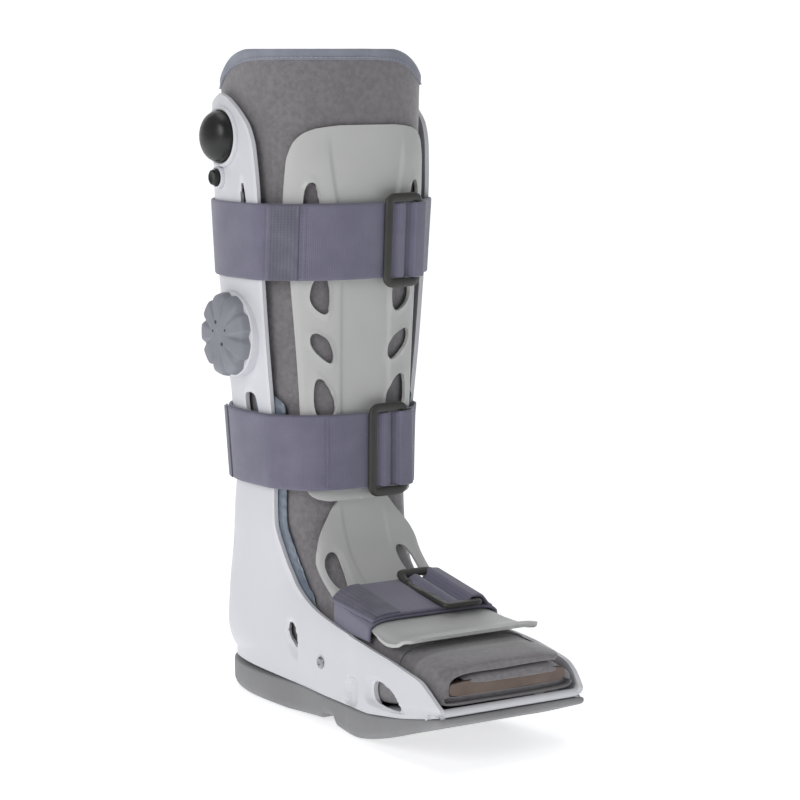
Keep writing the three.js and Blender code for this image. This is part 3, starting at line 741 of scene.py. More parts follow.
def round_edges(piece: Piece, edge: float, segments: int = 2) -> None:
    """Rounds a piece's sharp edges and keeps its flat faces evenly shaded.

    Args:
        piece: the piece.
        edge: the radius.
        segments: faces across it.
    """
    bevel = piece.modifiers.new("rounded edges", "BEVEL")
    bevel.width = edge * MM
    bevel.segments = segments
    bevel.limit_method = "ANGLE"
    bevel.angle_limit = math.radians(50)
    even = piece.modifiers.new("even shading", "WEIGHTED_NORMAL")
    even.keep_sharp = True


def section(sides: int, square: float) -> tuple[Array, Array]:
    """Both coordinates of points round a superellipse that reaches 1 along its axes.

    In polar form, a point's distance is the sum of the powers of cosine and sine, to the
    power of minus one over the squareness.

    Args:
        sides: points round it.
        square: its squareness; 2 is a circle.

    Returns:
        The two coordinates.
    """
    turn = circle(sides)
    c, s = np.cos(turn), np.sin(turn)
    polar = (np.abs(c) ** square + np.abs(s) ** square) ** (-1 / square)
    return c * polar, s * polar


def tube(path: Array, normal: Array, wide: float, tall: float, closed: bool,
         sides: int = 12, square: float = 2.0) -> tuple[Array, Array]:
    """Carries a rounded section along a path.

    The section is a superellipse, tall along the given normals and wide across them and the
    path. Open ends are drawn together over two shrinking rings.

    Args:
        path: points of the centreline.
        normal: the direction of the section's height at each point.
        wide: half the width.
        tall: half the height.
        closed: whether the path is a loop.
        sides: points round the section.
        square: the section's squareness; 2 is an ellipse.

    Returns:
        The points and the faces.
    """
    if closed:
        ahead = np.roll(path, -1, axis=0) - np.roll(path, 1, axis=0)
        scale = np.ones(len(path))
    else:
        start, end = path[:1] - (path[1:2] - path[:1]) * 0.01, path[-1:]
        path = np.concatenate([start, start, path, end, end])
        normal = np.concatenate([normal[:1]] * 2 + [normal] + [normal[-1:]] * 2)
        ahead = np.gradient(path, axis=0)
        ahead[:2], ahead[-2:] = ahead[2], ahead[-3]
        reach = min(wide, tall)
        direction = unit(ahead)
        path = path.copy()
        path[:2] -= direction[:2] * reach * np.array([[0.9], [0.55]])
        path[-2:] += direction[-2:] * reach * np.array([[0.55], [0.9]])
        scale = np.ones(len(path))
        scale[[0, -1]], scale[[1, -2]] = 0.02, 0.8
    across = unit(np.cross(ahead, normal))
    up = unit(np.cross(across, ahead))
    a, b = section(sides, square)
    ring = across[:, None] * (wide * a)[:, None] + up[:, None] * (tall * b)[:, None]
    points = path[:, None] + ring * scale[:, None, None]
    rows = np.concatenate([points, points[:1]]) if closed else points
    faces = grid_faces(len(rows), sides, wrap=True)
    if closed:
        faces = faces % (len(points) * sides)
    return points.reshape(-1, 3), faces


def along_path(path: Array, places: Array) -> Array:
    """Points at given distances along a path."""
    length = path_length(path)
    return np.stack([np.interp(places, length, path[:, k]) for k in range(path.shape[1])], axis=1)


def path_length(path: Array) -> Array:
    """Distance from a path's start to each of its points."""
    return np.concatenate([[0], np.cumsum(np.linalg.norm(np.diff(path, axis=0), axis=1))])


def evenly(loop: Array, count: int) -> Array:
    """Points spaced evenly along a closed loop."""
    closed = np.concatenate([loop, loop[:1]])
    return along_path(closed, np.linspace(0, path_length(closed)[-1], count, endpoint=False))


def softened(loop: Array, reach: int = 5) -> Array:
    """Eases a flat closed loop: a point becomes the mean of its neighbours on both sides.

    The weights fall off with the distance along a raised cosine.

    Args:
        loop: pairs of coordinates.
        reach: how many neighbours count on each side.

    Returns:
        The eased loop.
    """
    weight = np.hanning(2 * reach + 3)[1:-1]
    weight /= weight.sum()
    padded = np.concatenate([loop[-reach:], loop, loop[:reach]])
    return np.stack([np.convolve(padded[:, k], weight, "valid") for k in (0, 1)], axis=1)


def stitches(path: Array, normal: Array, pitch: float, length: float, radius: float
             ) -> tuple[Array, Array]:
    """A row of stitches: short flattened capsules laid along a path.

    Args:
        path: where the row runs.
        normal: outward directions along it.
        pitch: distance from stitch to stitch.
        length: length of a stitch.
        radius: half its thickness.

    Returns:
        The points and faces of all the stitches.
    """
    total = path_length(path)
    centre = np.arange(pitch / 2, total[-1], pitch)
    middle = along_path(path, centre)
    ahead = unit(along_path(path, centre + length / 2) - along_path(path, centre - length / 2))
    out = np.stack([np.interp(centre, total, normal[:, k]) for k in range(3)], axis=1)
    across = np.cross(ahead, out)
    lengths, widths = np.array([-0.5, -0.38, 0, 0.38, 0.5]), np.array([0.05, 0.8, 1, 0.8, 0.05])
    angle = circle(6)
    ring = np.cos(angle)[:, None, None, None] * across + np.sin(angle)[:, None, None, None] * out
    body = ring.transpose(2, 1, 0, 3) * (radius * widths)[None, :, None, None]
    spine = ahead[:, None] * (length * lengths)[None, :, None]
    points = middle[:, None, None] + spine[:, :, None] + body
    each = grid_faces(len(lengths), len(angle), wrap=True)
    step = len(lengths) * len(angle)
    faces = (each[None] + np.arange(len(centre))[:, None, None] * step).reshape(-1, 4)
    return points.reshape(-1, 3), faces


class Pattern(Enum):
    """The fine relief that a finish shows."""

    MOULDED = "moulded"
    WEBBING = "webbing"
    FELT = "felt"
    TWILL = "twill"
    CELLS = "cells"
    BRUSHED = "brushed"
    SMOOTH = "smooth"


def linear(colour: Triple) -> tuple[float, float, float, float]:
    """The linear values that a shader takes, by the usual curve of screens.

    Args:
        colour: red, green and blue from 0 to 255, as a screen takes them.

    Returns:
        Red, green, blue and an opacity of 1.
    """
    share = np.array(colour) / 255
    value = np.where(share < 0.04045, share / 12.92, ((share + 0.055) / 1.055) ** 2.4)
    return (*value.tolist(), 1.0)


@dataclass
class Tree:
    """Short calls for building a material's nodes."""

    material: bpy.types.Material

    def add(self, kind: str, inputs: dict | None = None, **settings: str) -> bpy.types.Node:
        """Adds a node, sets its properties, and gives its inputs a value or a link.

        Args:
            kind: the node's type.
            inputs: values or links by input.
            settings: the node's properties.

        Returns:
            The node.
        """
        node = self.material.node_tree.nodes.new(kind)
        for key, value in settings.items():
            setattr(node, key, value)
        for key, value in (inputs or {}).items():
            if isinstance(value, Socket):
                self.material.node_tree.links.new(value, node.inputs[key])
            else:
                node.inputs[key].default_value = value
        return node

    def math(self, operation: str, first: Socket, second: Socket | float) -> Socket:
        """The result of a Math node."""
        node = self.add("ShaderNodeMath", {0: first, 1: second}, operation=operation)
        return node.outputs[0]

    def noise(self, place: Socket, size: float, detail: float = 3.0
              ) -> Socket:
        """Noise whose blotches are about size millimetres wide."""
        inputs = {"Vector": place, "Scale": 1 / (size * MM), "Detail": detail}
        return self.add("ShaderNodeTexNoise", inputs).outputs["Fac"]

    def bands(self, place: Socket, pitch: float, direction: str, stray: float = 0.0
              ) -> Socket:
        """Rounded ridges a pitch apart, in millimetres, along one direction."""
        inputs = {"Vector": place, "Scale": 2 * math.pi / (20 * pitch * MM), "Distortion": stray}
        return self.add("ShaderNodeTexWave", inputs, bands_direction=direction).outputs["Fac"]

    def spread(self, value: Socket, low: float, high: float,
               start: float = 0.35, end: float = 0.65) -> Socket:
        """Maps the middle of a value's range onto low to high."""
        inputs = {"Value": value, "From Min": start, "From Max": end, "To Min": low,
                  "To Max": high}
        return self.add("ShaderNodeMapRange", inputs).outputs["Result"]

    def blend(self, share: Socket, first: Shade, second: Shade) -> Socket:
        """Mixes two colours."""
        inputs = {"Factor": share, 6: first, 7: second}
        return self.add("ShaderNodeMix", inputs, data_type="RGBA").outputs[2]


@dataclass(frozen=True)
class Finish:
    """What a surface is made of: two tones that vary in patches, fine relief with painted shade
    darkening its hollows, gloss, and sharp convex edges painted paler as rubbed wear and painted
    highlight.

    Lengths are in millimetres, colours in 0 to 255 sRGB.
    """

    name: str
    slot: Slot
    light: Triple
    dark: Triple
    pattern: Pattern = Pattern.MOULDED
    pitch: float = 0.5
    relief: float = 0.02
    patch: float = 30.0
    rough: float = 0.45
    rough_spread: float = 0.05
    sheen: float = 0.0
    coat: float = 0.0
    metal: float = 0.0
    # How much paler sharp convex edges are painted: partly rubbed wear, partly painted edge
    # highlight.
    wear_and_edge_highlight: float = 0.0
    shine: float = 0.5
    # Painted shade: how far the relief's low places are darkened towards a deeper tone.
    hollow_shade: float = 0.3

    def height(self, tree: Tree, place: Socket) -> Socket:
        """The fine relief as a value from 0 to 1.

        Args:
            tree: the material's nodes.
            place: where the relief is read.

        Returns:
            The relief.
        """
        grain = tree.noise(place, self.pitch, 4.0)
        if self.pattern in (Pattern.WEBBING, Pattern.TWILL):
            ribs = tree.bands(place, self.pitch, "X", 0.4)
            rows = tree.bands(place, self.pitch * 0.8, "DIAGONAL" if self.pattern is Pattern.TWILL
                              else "Y")
            woven = tree.math("ADD", tree.math("MULTIPLY", ribs, 0.6),
                              tree.math("MULTIPLY", rows, 0.3))
            return tree.math("ADD", woven, tree.math("MULTIPLY", grain, 0.35))
        if self.pattern in (Pattern.FELT, Pattern.CELLS):
            inputs = {"Vector": place, "Scale": 1 / (self.pitch * MM)}
            cells = tree.add("ShaderNodeTexVoronoi", inputs).outputs["Distance"]
            share = 0.5 if self.pattern is Pattern.FELT else 0.9
            return tree.math("ADD", tree.math("MULTIPLY", cells, share),
                             tree.math("MULTIPLY", grain, 1 - share / 2))
        if self.pattern is Pattern.BRUSHED:
            inputs = {"Vector": place, "Scale": (1.0, 1.0, 14.0)}
            stretched = tree.add("ShaderNodeMapping", inputs).outputs["Vector"]
            return tree.noise(stretched, self.pitch * 4, 2.0)
        return grain

    def make(self) -> bpy.types.Material:
        """Makes the material."""
        material = bpy.data.materials.new(self.name)
        material.use_nodes = True
        material.node_tree.nodes.clear()
        tree = Tree(material)
        coordinates = tree.add("ShaderNodeTexCoord")
        woven = self.pattern in (Pattern.WEBBING, Pattern.TWILL)
        place = (tree.add("ShaderNodeUVMap", uv_map="cloth").outputs["UV"] if woven
                 else coordinates.outputs["Object"])
        broad = tree.noise(coordinates.outputs["Object"], self.patch, 2.0)
        height = self.height(tree, place)
        dark, light = linear(self.dark), linear(self.light)
        colour = tree.blend(tree.spread(broad, 0, 1), dark, light)
        # Painted shade: the relief's hollows are darkened towards a deeper copy of the dark tone.
        hollow_shade_colour = tuple(0.55 * c for c in dark[:3]) + (1.0,)
        colour = tree.blend(tree.spread(height, self.hollow_shade, 0.0, 0.25, 0.6), colour, hollow_shade_colour)
        # Sharp convex edges, found by their pointiness, are painted paler towards a light colour:
        # partly rubbed wear, partly painted highlight.
        if self.wear_and_edge_highlight:
            convex_edges = tree.add("ShaderNodeNewGeometry").outputs["Pointiness"]
            pale = tuple(min(1.0, 0.2 + 0.95 * c) for c in light[:3]) + (1.0,)
            colour = tree.blend(tree.spread(convex_edges, 0, self.wear_and_edge_highlight, 0.51, 0.62), colour, pale)
        low, high = self.rough - self.rough_spread, self.rough + self.rough_spread
        rough = tree.spread(tree.noise(place, self.patch / 4, 3.0), low, high)
        bump = tree.add("ShaderNodeBump", {"Height": height, "Distance": self.relief * MM})
        shader = tree.add("ShaderNodeBsdfPrincipled", {
            "Base Color": colour, "Roughness": rough, "Normal": bump.outputs["Normal"],
            "Metallic": self.metal, "Sheen Weight": self.sheen, "Coat Weight": self.coat,
            "Specular IOR Level": self.shine})
        out = tree.add("ShaderNodeOutputMaterial")
        material.node_tree.links.new(shader.outputs["BSDF"], out.inputs["Surface"])
        return material


SHELL_FINISH = Finish(
    "pale moulded shell", Slot.SHELL, (216, 217, 222), (213, 214, 219), pitch=0.6, relief=0.015,
    patch=70, rough=0.42, wear_and_edge_highlight=0.25, hollow_shade=0.04)
PLATE_FINISH = Finish(
    "warm grey flexible plate", Slot.PLATE, (192, 193, 191), (187, 188, 187), pitch=0.7,
    patch=60, rough=0.5, wear_and_edge_highlight=0.45, hollow_shade=0.05)
SOLE_FINISH = Finish(
    "grey moulded rubber", Slot.SOLE, (143, 143, 145), (133, 133, 136), pitch=0.9, relief=0.04,
    patch=40, rough=0.62, wear_and_edge_highlight=0.2, hollow_shade=0.1)
LINER_FINISH = Finish(
    "grey brushed loop cloth", Slot.LINER, (130, 127, 130), (117, 114, 117), Pattern.FELT,
    pitch=0.9, relief=0.26, patch=3.5, rough=0.92, sheen=0.6, shine=0.25)
BINDING_FINISH = Finish(
    "blue grey ribbed binding", Slot.BINDING, (146, 150, 162), (134, 138, 150), Pattern.TWILL,
    pitch=0.9, relief=0.09, patch=14, rough=0.8, sheen=0.25, hollow_shade=0.25, shine=0.3)
THREAD_FINISH = Finish(
    "pale sewing thread", Slot.BINDING, (168, 170, 178), (158, 160, 168), Pattern.FELT,
    pitch=0.3, relief=0.04, patch=6, rough=0.8, hollow_shade=0.2)
FOAM_FINISH = Finish(
    "brown grey foam", Slot.INSOLE, (126, 112, 105), (116, 102, 95), Pattern.CELLS, pitch=0.8,
    relief=0.12, patch=14, rough=0.9, shine=0.25)
CELL_FINISH = Finish(
    "glossy blue grey vinyl", Slot.CELL, (120, 130, 144), (104, 114, 128), Pattern.SMOOTH,
    pitch=3.0, relief=0.05, patch=14, rough=0.16, rough_spread=0.04, coat=0.6, hollow_shade=0.05)
STRAP_FINISH = Finish(
    "lilac grey woven webbing", Slot.STRAP, (119, 117, 136), (112, 110, 129), Pattern.WEBBING,
    pitch=1.1, relief=0.11, patch=18, rough=0.72, sheen=0.3, hollow_shade=0.28, shine=0.35)
TAB_FINISH = Finish(
    "stiff hook tab", Slot.STRAP, (112, 111, 126), (100, 99, 114), Pattern.WEBBING, pitch=2.2,
    relief=0.3, patch=14, rough=0.7, sheen=0.2, hollow_shade=0.35, shine=0.35)
BUCKLE_FINISH = Finish(
    "dark satin buckle plastic", Slot.BUCKLE, (52, 52, 49), (46, 46, 44), pitch=0.5, patch=20,
    rough=0.42, wear_and_edge_highlight=0.12, hollow_shade=0.1)
BULB_FINISH = Finish(
    "black bulb rubber", Slot.BULB, (30, 30, 31), (25, 25, 26), pitch=0.6, patch=20, rough=0.36,
    hollow_shade=0.1)
DIAL_FINISH = Finish(
    "grey soft touch dial", Slot.DIAL, (140, 142, 151), (130, 132, 141), pitch=0.6, patch=24,
    rough=0.5, wear_and_edge_highlight=0.15, hollow_shade=0.06)
MARK_FINISH = Finish(
    "dark dial marks", Slot.DIAL, (60, 62, 70), (52, 54, 62), relief=0.01, patch=10, rough=0.5,
    hollow_shade=0.05)
RIVET_FINISH = Finish(
    "brushed steel", Slot.RIVET, (176, 178, 182), (150, 152, 158), Pattern.BRUSHED, pitch=0.3,
    patch=4, rough=0.3, metal=0.9, hollow_shade=0.1)


def finish_piece(piece: Piece, finish: Finish, body: str = "boot",
                 replaces: tuple[str, ...] = ()) -> Piece:
    """Gives a piece its material and body, hides the nodes that it stands for, and logs it.

    Args:
        piece: the piece.
        finish: what it is made of.
        body: the body that it rides on.
        replaces: the nodes that it stands for.

    Returns:
        The piece.
    """
    piece.data.materials.append(finish.make())
    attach(piece, body)
    if replaces:
        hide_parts(*replaces)
    log.info("%s: %d faces on %s", piece.name, len(piece.data.polygons), body)
    return piece


@dataclass(frozen=True)
class Place:
    """A point of an outline in the side view."""

    y: float
    z: float


EDGE = [Place(*place) for place in (
    (13.4, 407.0), (5.0, 405.0), (-4.0, 400.2), (-13.5, 393.3), (-20.5, 386.0), (-25.6, 372.0),
    (-28.0, 340.0), (-27.2, 270.0), (-25.8, 197.8), (-20.9, 148.6), (-21.6, 127.0),
    (-29.1, 104.6), (-42.0, 85.9), (-70.0, 72.0), (-100.7, 66.5), (-130.3, 63.4),
    (-163.2, 60.1), (-184.0, 56.4), (-198.2, 53.4), (-206.4, 49.0), (-213.2, 43.2),
    (-217.6, 38.9))]
TOP_LINE = [Place(*place) for place in (
    (13.4, 407.0), (32.2, 400.1), (38.0, 392.5), (43.5, 386.5), (49.6, 384.0), (80.0, 384.0))]


@dataclass(frozen=True)
class Recess:
    """A recess of the side view: its corners, how often they are rounded, and its depth."""

    corners: tuple[Pair, ...]
    times: int
    depth: float
    slope: float


RECESSES = [
    Recess(((-27, 58), (-33, 65), (-44, 62), (-47, 50), (-46, 33), (-35, 40)), 3, 1.6, 5.0),
    Recess(((-112, 40), (-122, 41), (-123, 30), (-121, 20), (-107, 19), (-106, 25)), 2, 2.9, 1.8),
    Recess(((-134, 45), (-156, 47), (-172, 41), (-183, 28), (-150, 27), (-135, 27)), 2, 2.6, 3.4),
    Recess(((-17, 318), (-15.5, 352), (-12.5, 358), (-8, 345), (-6.5, 318)), 2, 1.0, 2.4),
]
OPENINGS = [
    rounded([(-16, 296), (-15, 338), (-12.5, 354), (-10, 348), (-8, 325), (-7.5, 296)], 2),
    rounded([(-12.5, 184.3), (-9.2, 181), (-0.8, 181), (2.5, 184.3), (4.5, 207.7), (1.2, 211),
             (-7.2, 211), (-10.5, 207.7)], 3),
    rounded([(-33, 61), (-40, 60.5), (-43.5, 54), (-44.5, 42), (-37, 47.5), (-32, 54)], 3),
    rounded([(-142, 43), (-156, 44), (-169, 38.5), (-178, 31), (-176, 29.5), (-152, 29.5),
             (-143, 31)], 3),
]


@dataclass
class Shell:
    """The pale rigid shell: ears, open instep, walls round the foot, cut-outs and recesses."""

    thickness: float = 3.0
    rows: int = 250
    columns: int = 150
    lip: float = 0.9
    ears_from: float = 300.0
    skirt_tall: float = 34.0
    skirt_fade: float = 30.0
    welt_y: tuple[float, ...] = (-217, -179, -126, -30)
    welt_z: tuple[float, ...] = (32.8, 25.5, 18.5, 17.8)
    welt_gap: float = 0.9
    hidden: Triple = (51.5, -213.5, 36.5)
    lip_half: float = 50.0
    lip_place: Pair = (-214.6, 35.7)

    def edge(self) -> tuple[Array, Array]:
        """Stations and end angles of the rows along the side edge, closest where they fan out.

        The rows are spaced evenly by the longer of their steps along the edge and the back.

        Returns:
            Each row's station and the angle of its end.
        """
        knots = np.stack([column(EDGE, "y"), column(EDGE, "z")], axis=1)
        length = path_length(knots)
        fine = np.linspace(0, length[-1], 1200)
        y, z = (smooth_table(length, knots[:, k], fine) for k in (0, 1))
        station, _ = FORM.at_side(y, z)
        far = FORM.ring(station, np.zeros_like(station), SHELL_OUT)
        behind = np.linalg.norm(np.diff(far, axis=0), axis=1)
        beside = np.hypot(np.diff(y), np.diff(z))
        measure = np.concatenate([[0], np.cumsum(np.maximum(behind, beside))])
        pick = np.interp(np.linspace(0, measure[-1], self.rows), measure, fine)
        station, along = FORM.at_side(*(np.interp(pick, fine, a) for a in (y, z)))
        share, sideways = FORM.sideways(station, along, SHELL_OUT)
        return station, np.arctan2(sideways, share)

    def surface(self) -> Surface:
        """The outer face from the ears and the back's top to the toe's lip.

        Rows start at the outer side's edge, pass round the back or sole and end at the
        inner edge. The uppermost rows bend down behind the ears.
        """
        station, angle = self.edge()
        turn = angle[:, None] * np.linspace(-1, 1, self.columns)
        station = np.repeat(station[:, None], self.columns, axis=1)
        flat = FORM.ring(station, turn, SHELL_OUT, SHELL_SQUARE)
        top = np.interp(flat[..., 1], column(TOP_LINE, "y"), column(TOP_LINE, "z"))
        ears = ease((flat[..., 2] - self.ears_from) / (TOP_LINE[0].z - self.ears_from))
        lowered = FORM.at_height(flat[..., 2] - (TOP_LINE[0].z - top) * ears)
        station = np.where(flat[..., 2] > FORM.ankle, lowered, station)
        return Surface(self.skirt(FORM.ring(station, turn, SHELL_OUT, SHELL_SQUARE)))

    def skirt(self, points: Array) -> Array:
        """Draws the lower corner out to the sole's plan, so that the wall stands on the welt.

        A point's distance from the plan's middle is scaled up to the outline's, by a share
        that eases in towards the welt, the plan's outline and the toe.

        Args:
            points: the face's points.

        Returns:
            The moved points.
        """
        x, y, z = points[..., 0], points[..., 1], points[..., 2]
        welt = np.interp(y, self.welt_y, self.welt_z)
        ratio = PLAN.ratio(x, y)
        share = (ease((welt + self.skirt_tall - z) / self.skirt_fade)
                 * ease((ratio - 0.66) / 0.2) * ease((y + 216) / 8))
        scale = 1 + share * (np.maximum(ratio, 0.982) / np.maximum(ratio, 0.1) - 1)
        y = PLAN.centre + (y - PLAN.centre) * scale
        floor = np.interp(y, self.welt_y, self.welt_z) + self.welt_gap
        return np.stack([x * scale, y, np.maximum(z, floor)], axis=-1)

    def build(self) -> Piece:
        """Makes the shell, dressed, and without the faces that the toe's lip hides."""
        surface = self.surface()
        for recess in RECESSES:
            outline = rounded(recess.corners, recess.times)
            surface.sink(outline, recess.depth, recess.slope)
        for outline in OPENINGS:
            surface.cut(outline, SIDE_VIEW)
        x, y, z = surface.points[surface.faces].mean(axis=1).T
        half, ahead, high = self.hidden
        surface.faces = surface.faces[~((np.abs(x) < half) & (y < ahead) & (z < high))]
        piece = surface.piece("shell_wall")
        wall(piece, self.thickness, self.lip)
        return finish_piece(piece, SHELL_FINISH, replaces=("shell",))

    def build_lip(self) -> Piece:
        """Makes the thick rounded lip across the toe, under the liner."""
        x = np.linspace(-self.lip_half, self.lip_half, 60)
        path = np.stack([x, *(np.full(60, value) for value in self.lip_place)], axis=1)
        normal = np.tile([[0.0, 0.0, 1.0]], (60, 1))
        piece = add_piece("shell_toe_lip", *tube(path, normal, 3.0, 2.5, False, 20, 2.6))
        weld(piece)
        return finish_piece(piece, SHELL_FINISH)


@dataclass
class Outsole:
    """The grey rocker sole: a welt round the shell, an arch notch, and a plain tread."""

    welt: float = 2.5
    edge: float = 7.0
    rows: int = 150

    def underside(self, y: Array) -> Array:
        """Height of the tread along the sole: heel, arch notch, ball and rocker."""
        knots = np.array([-226, -118, -106, -94, -90, -76, -72, -25, 63.4, 77.4])
        levels = np.array([30, 0, 0, 1.5, 7, 7, 3, 0, 0, 3.5])
        plain = np.interp(y, knots, levels)
        rocker = 30 * np.clip((-118 - y) / 108, 0, 1) ** 1.35
        return np.where(y < -118, rocker, plain)

    def border(self, y: Array) -> Array:
        """Height of the welt's upper edge along the side."""
        knots = np.array([-226, -217, -205, -179, -148, -126, -102, -73, -50, -30, 0, 77])
        levels = np.array([33.4, 32.6, 30.8, 26.2, 21.6, 19.8, 19.2, 19.6, 20.4, 20.2, 19.6, 19.4])
        return smooth_table(knots, levels, y)

    def build(self) -> Piece:
        """Makes the sole as a profile carried round the plan outline.

        The profile starts inside the welt, crosses its top, runs down the wall, turns the
        lower edge on a quarter circle and closes under the sole on the middle line.
        """
        half, y = PLAN.half, PLAN.y
        length = path_length(np.stack([half, y], axis=1))
        pick = np.linspace(0, length[-1], self.rows)
        half, y = np.interp(pick, length, half), np.interp(pick, length, y)
        half = np.concatenate([half, half[-1] * np.array([0.8, 0.5, 0.0])])
        y = np.concatenate([y, np.full(3, y[-1])])
        half[0] = 0
        x = np.concatenate([half, -half[-2:0:-1]])
        y = np.concatenate([y, y[-2:0:-1]])
        turn = np.linspace(0, np.pi / 2, 7)
        inset = np.concatenate([[26.0, 14.0, 1.2, 0.35, 0.0], self.edge * (1 - np.cos(turn))])
        low, high = self.underside(y), self.border(y)
        tall = np.minimum(high - low - self.welt, self.edge)
        levels = [high - drop for drop in (0.0, 0.0, 0.0, 0.3, 1.2)]
        levels += [low + tall * (1 - np.sin(a)) for a in turn]
        rows = [self.inset(x, y, step, level) for step, level in zip(inset, levels)]
        rows += [rows[-1] * np.array([share, 1, 1]) for share in (0.75, 0.5, 0.25, 0.0)]
        piece = Surface(np.stack(rows), wrap=True).piece("rocker_sole")
        weld(piece, 20 * SEAM)
        return finish_piece(piece, SOLE_FINISH, replaces=("outsole",))

    def inset(self, x: Array, y: Array, step: float, level: Array) -> Array:
        """The plan outline moved inwards by a step, at the given heights."""
        narrow, short = 1 - step / 58, 1 - step / 150
        return np.stack([x * narrow, PLAN.centre + (y - PLAN.centre) * short, level], axis=1)


@dataclass
class Liner:
    """The padded cloth bootie: wall, folded binding round the rim, and flaps over the toes."""

    thickness: float = 6.0
    toe: float = -213.0
    rows: int = 210
    columns: int = 180
    fold: float = 0.5
    flap_length: float = 52.0
    flap_half: float = 3.9

    def surface(self) -> Surface:
        """The liner's outer face, a ring of points a row, from the rim to the toe.

        The top rows follow the rim, which dips at the sides. Shallow creases run round the
        front of the ankle, and the whole face swells gently between them.
        """
        station = np.linspace(0, FORM.last, self.rows)
        station = station[:, None] + np.zeros((1, self.columns))
        angle = np.linspace(-np.pi, np.pi, self.columns, endpoint=False)[None] + 0 * station
        flat = FORM.ring(station, angle)
        drop = FORM.height - FORM.rim_height(flat[..., 0], flat[..., 1])
        fade = ease((flat[..., 2] - 300) / (FORM.height - 300))
        raised = flat[..., 2] > FORM.ankle
        station = np.where(raised, FORM.at_height(flat[..., 2] - drop * fade), station)
        front = 0.5 - 0.5 * np.cos(angle)
        level = (station - len(LEG_ROWS) + 1.5) / 2.2
        ankle = np.exp(-level**2) * front
        crease = (np.sin(5.2 * station + 1.3 * np.sin(2 * angle))
                  + 0.5 * np.sin(9.1 * station + 3 * angle))
        swell = np.sin(1.9 * station + 2.1 * angle) * np.sin(3 * angle + 0.7 * station)
        grow = -0.35 + 0.3 * swell + 0.75 * ankle * crease * 0.6
        points = FORM.ring(station, angle, grow)
        points[..., 1] = np.maximum(points[..., 1], self.toe)
        return Surface(points, wrap=True)

    def build_wall(self) -> Piece:
        """Makes the wall, whose lower half runs on to the toe under the foam."""
        surface = self.surface()
        middle = surface.points[surface.faces].mean(axis=1)
        floor = np.interp(middle[:, 1], [self.toe, -150], [44.0, 36.0])
        folded = (middle[:, 1] < self.toe + self.flap_length - 5) & (middle[:, 2] > floor)
        surface.faces = surface.faces[~folded]
        piece = surface.piece("liner_wall")
        wall(piece, self.thickness - 0.5, 1.8, 3)
        return finish_piece(piece, LINER_FINISH, replaces=("liner", "toe_flap"))

    def rim_path(self, count: int, below: float, grow: float) -> tuple[Array, Array]:
        """A loop of points a distance below the rim and the outward directions there.

        Args:
            count: points round it.
            below: the distance below the rim.
            grow: distance outwards from the liner's face.

        Returns:
            The points and the directions.
        """
        angle = np.linspace(-np.pi, np.pi, count, endpoint=False)
        station = np.zeros(count)
        for _ in range(4):
            here = FORM.ring(station, angle, grow)
            station = FORM.at_height(FORM.rim_height(here[:, 0], here[:, 1]) - below)
        points = FORM.ring(station, angle, grow)
        return points, unit(FORM.ring(station, angle, grow + 1) - points)

    def build_binding(self) -> Piece:
        """Makes the band folded over the rim: up the outside, over on an arc, down inside."""
        turn = np.linspace(0, np.pi, 11)
        radius = self.thickness / 2 + self.fold
        grow = np.concatenate([np.linspace(0.15, self.fold, 5),
                               radius * np.cos(turn) - self.thickness / 2,
                               np.full(4, -self.thickness - self.fold)])
        lift = np.concatenate([np.linspace(-7, -1, 5), 0.55 * radius * np.sin(turn) - 0.6,
                               np.linspace(-1.5, -7, 4)])
        rows = [self.rim_path(300, -up, out)[0] for up, out in zip(lift, grow)]
        surface = Surface(np.stack(rows), wrap=True, flip=True, uv=self.band_uv(rows))
        piece = surface.piece("rim_binding")
        wall(piece, 0.6, 0.2)
        return finish_piece(piece, BINDING_FINISH, replaces=("liner_binding",))

    def band_uv(self, rows: list[Array]) -> Array:
        """Coordinates in millimetres round the band and across it."""
        grid = np.stack(rows)
        round_it = path_length(grid[len(rows) // 2])
        across = path_length(grid[:, 0])
        return np.stack(np.meshgrid(round_it, across), axis=-1)

    def build_stitches(self) -> Piece:
        """Sews the band's lower edge with one row of stitches."""
        path, out = self.rim_path(900, 5.4, 0.7)
        closed = np.concatenate([path, path[:1]])
        points, faces = stitches(closed, np.concatenate([out, out[:1]]), 3.2, 2.3, 0.34)
        piece = add_piece("binding_stitches", points, faces)
        return finish_piece(piece, THREAD_FINISH)

    def build_flap(self, name: str, side: Side, tuck: float) -> Piece:
        """Makes one padded flap that folds over the toes, with a thick rolled front edge.

        Its closed section is a rounded slab in the plane of the foot's length and the
        distance from the form. It is carried round the form's sections, from the lower side
        wall over the top, and may tuck in under the other flap on the way.

        Args:
            name: the piece's name.
            side: the side that the flap starts from.
            tuck: how far its free end lies below the form's face.

        Returns:
            The flap.
        """
        rows, sides = 90, 48
        run = np.linspace(0, 1, rows)
        reach = 150
        angle = np.radians(side.value * (72 + reach * run))
        a, b = section(sides, 4.2)
        half = self.flap_half * (1 - 0.25 * ease((run - 0.9) / 0.1))
        swell = 1 + 0.1 * np.sin(9 * run) * np.sin(2 * np.pi * run + side.value)
        depth = (half * swell)[:, None] * b * np.where(a > 0, 1.0, 0.75)
        y = self.toe + self.flap_length / 2 * (1 - a) + 0.8 * np.sin(7 * run)[:, None]
        y = np.maximum(y, self.toe - 0.4)
        first = len(LEG_ROWS) + len(FAN_ROWS)
        station = FORM.station_at("y", y.ravel(), first, int(FORM.last)).reshape(y.shape)
        inwards = tuck * ease((run - 0.1) / 0.25)[:, None]
        grow = -self.flap_half + 0.2 + depth - inwards
        points = FORM.ring(station, angle[:, None] + 0 * y, grow, FORM.upper_square)
        points[..., 1] = y
        piece = Surface(points, wrap=True).piece(name)
        close_ends(piece)
        return finish_piece(piece, LINER_FINISH)


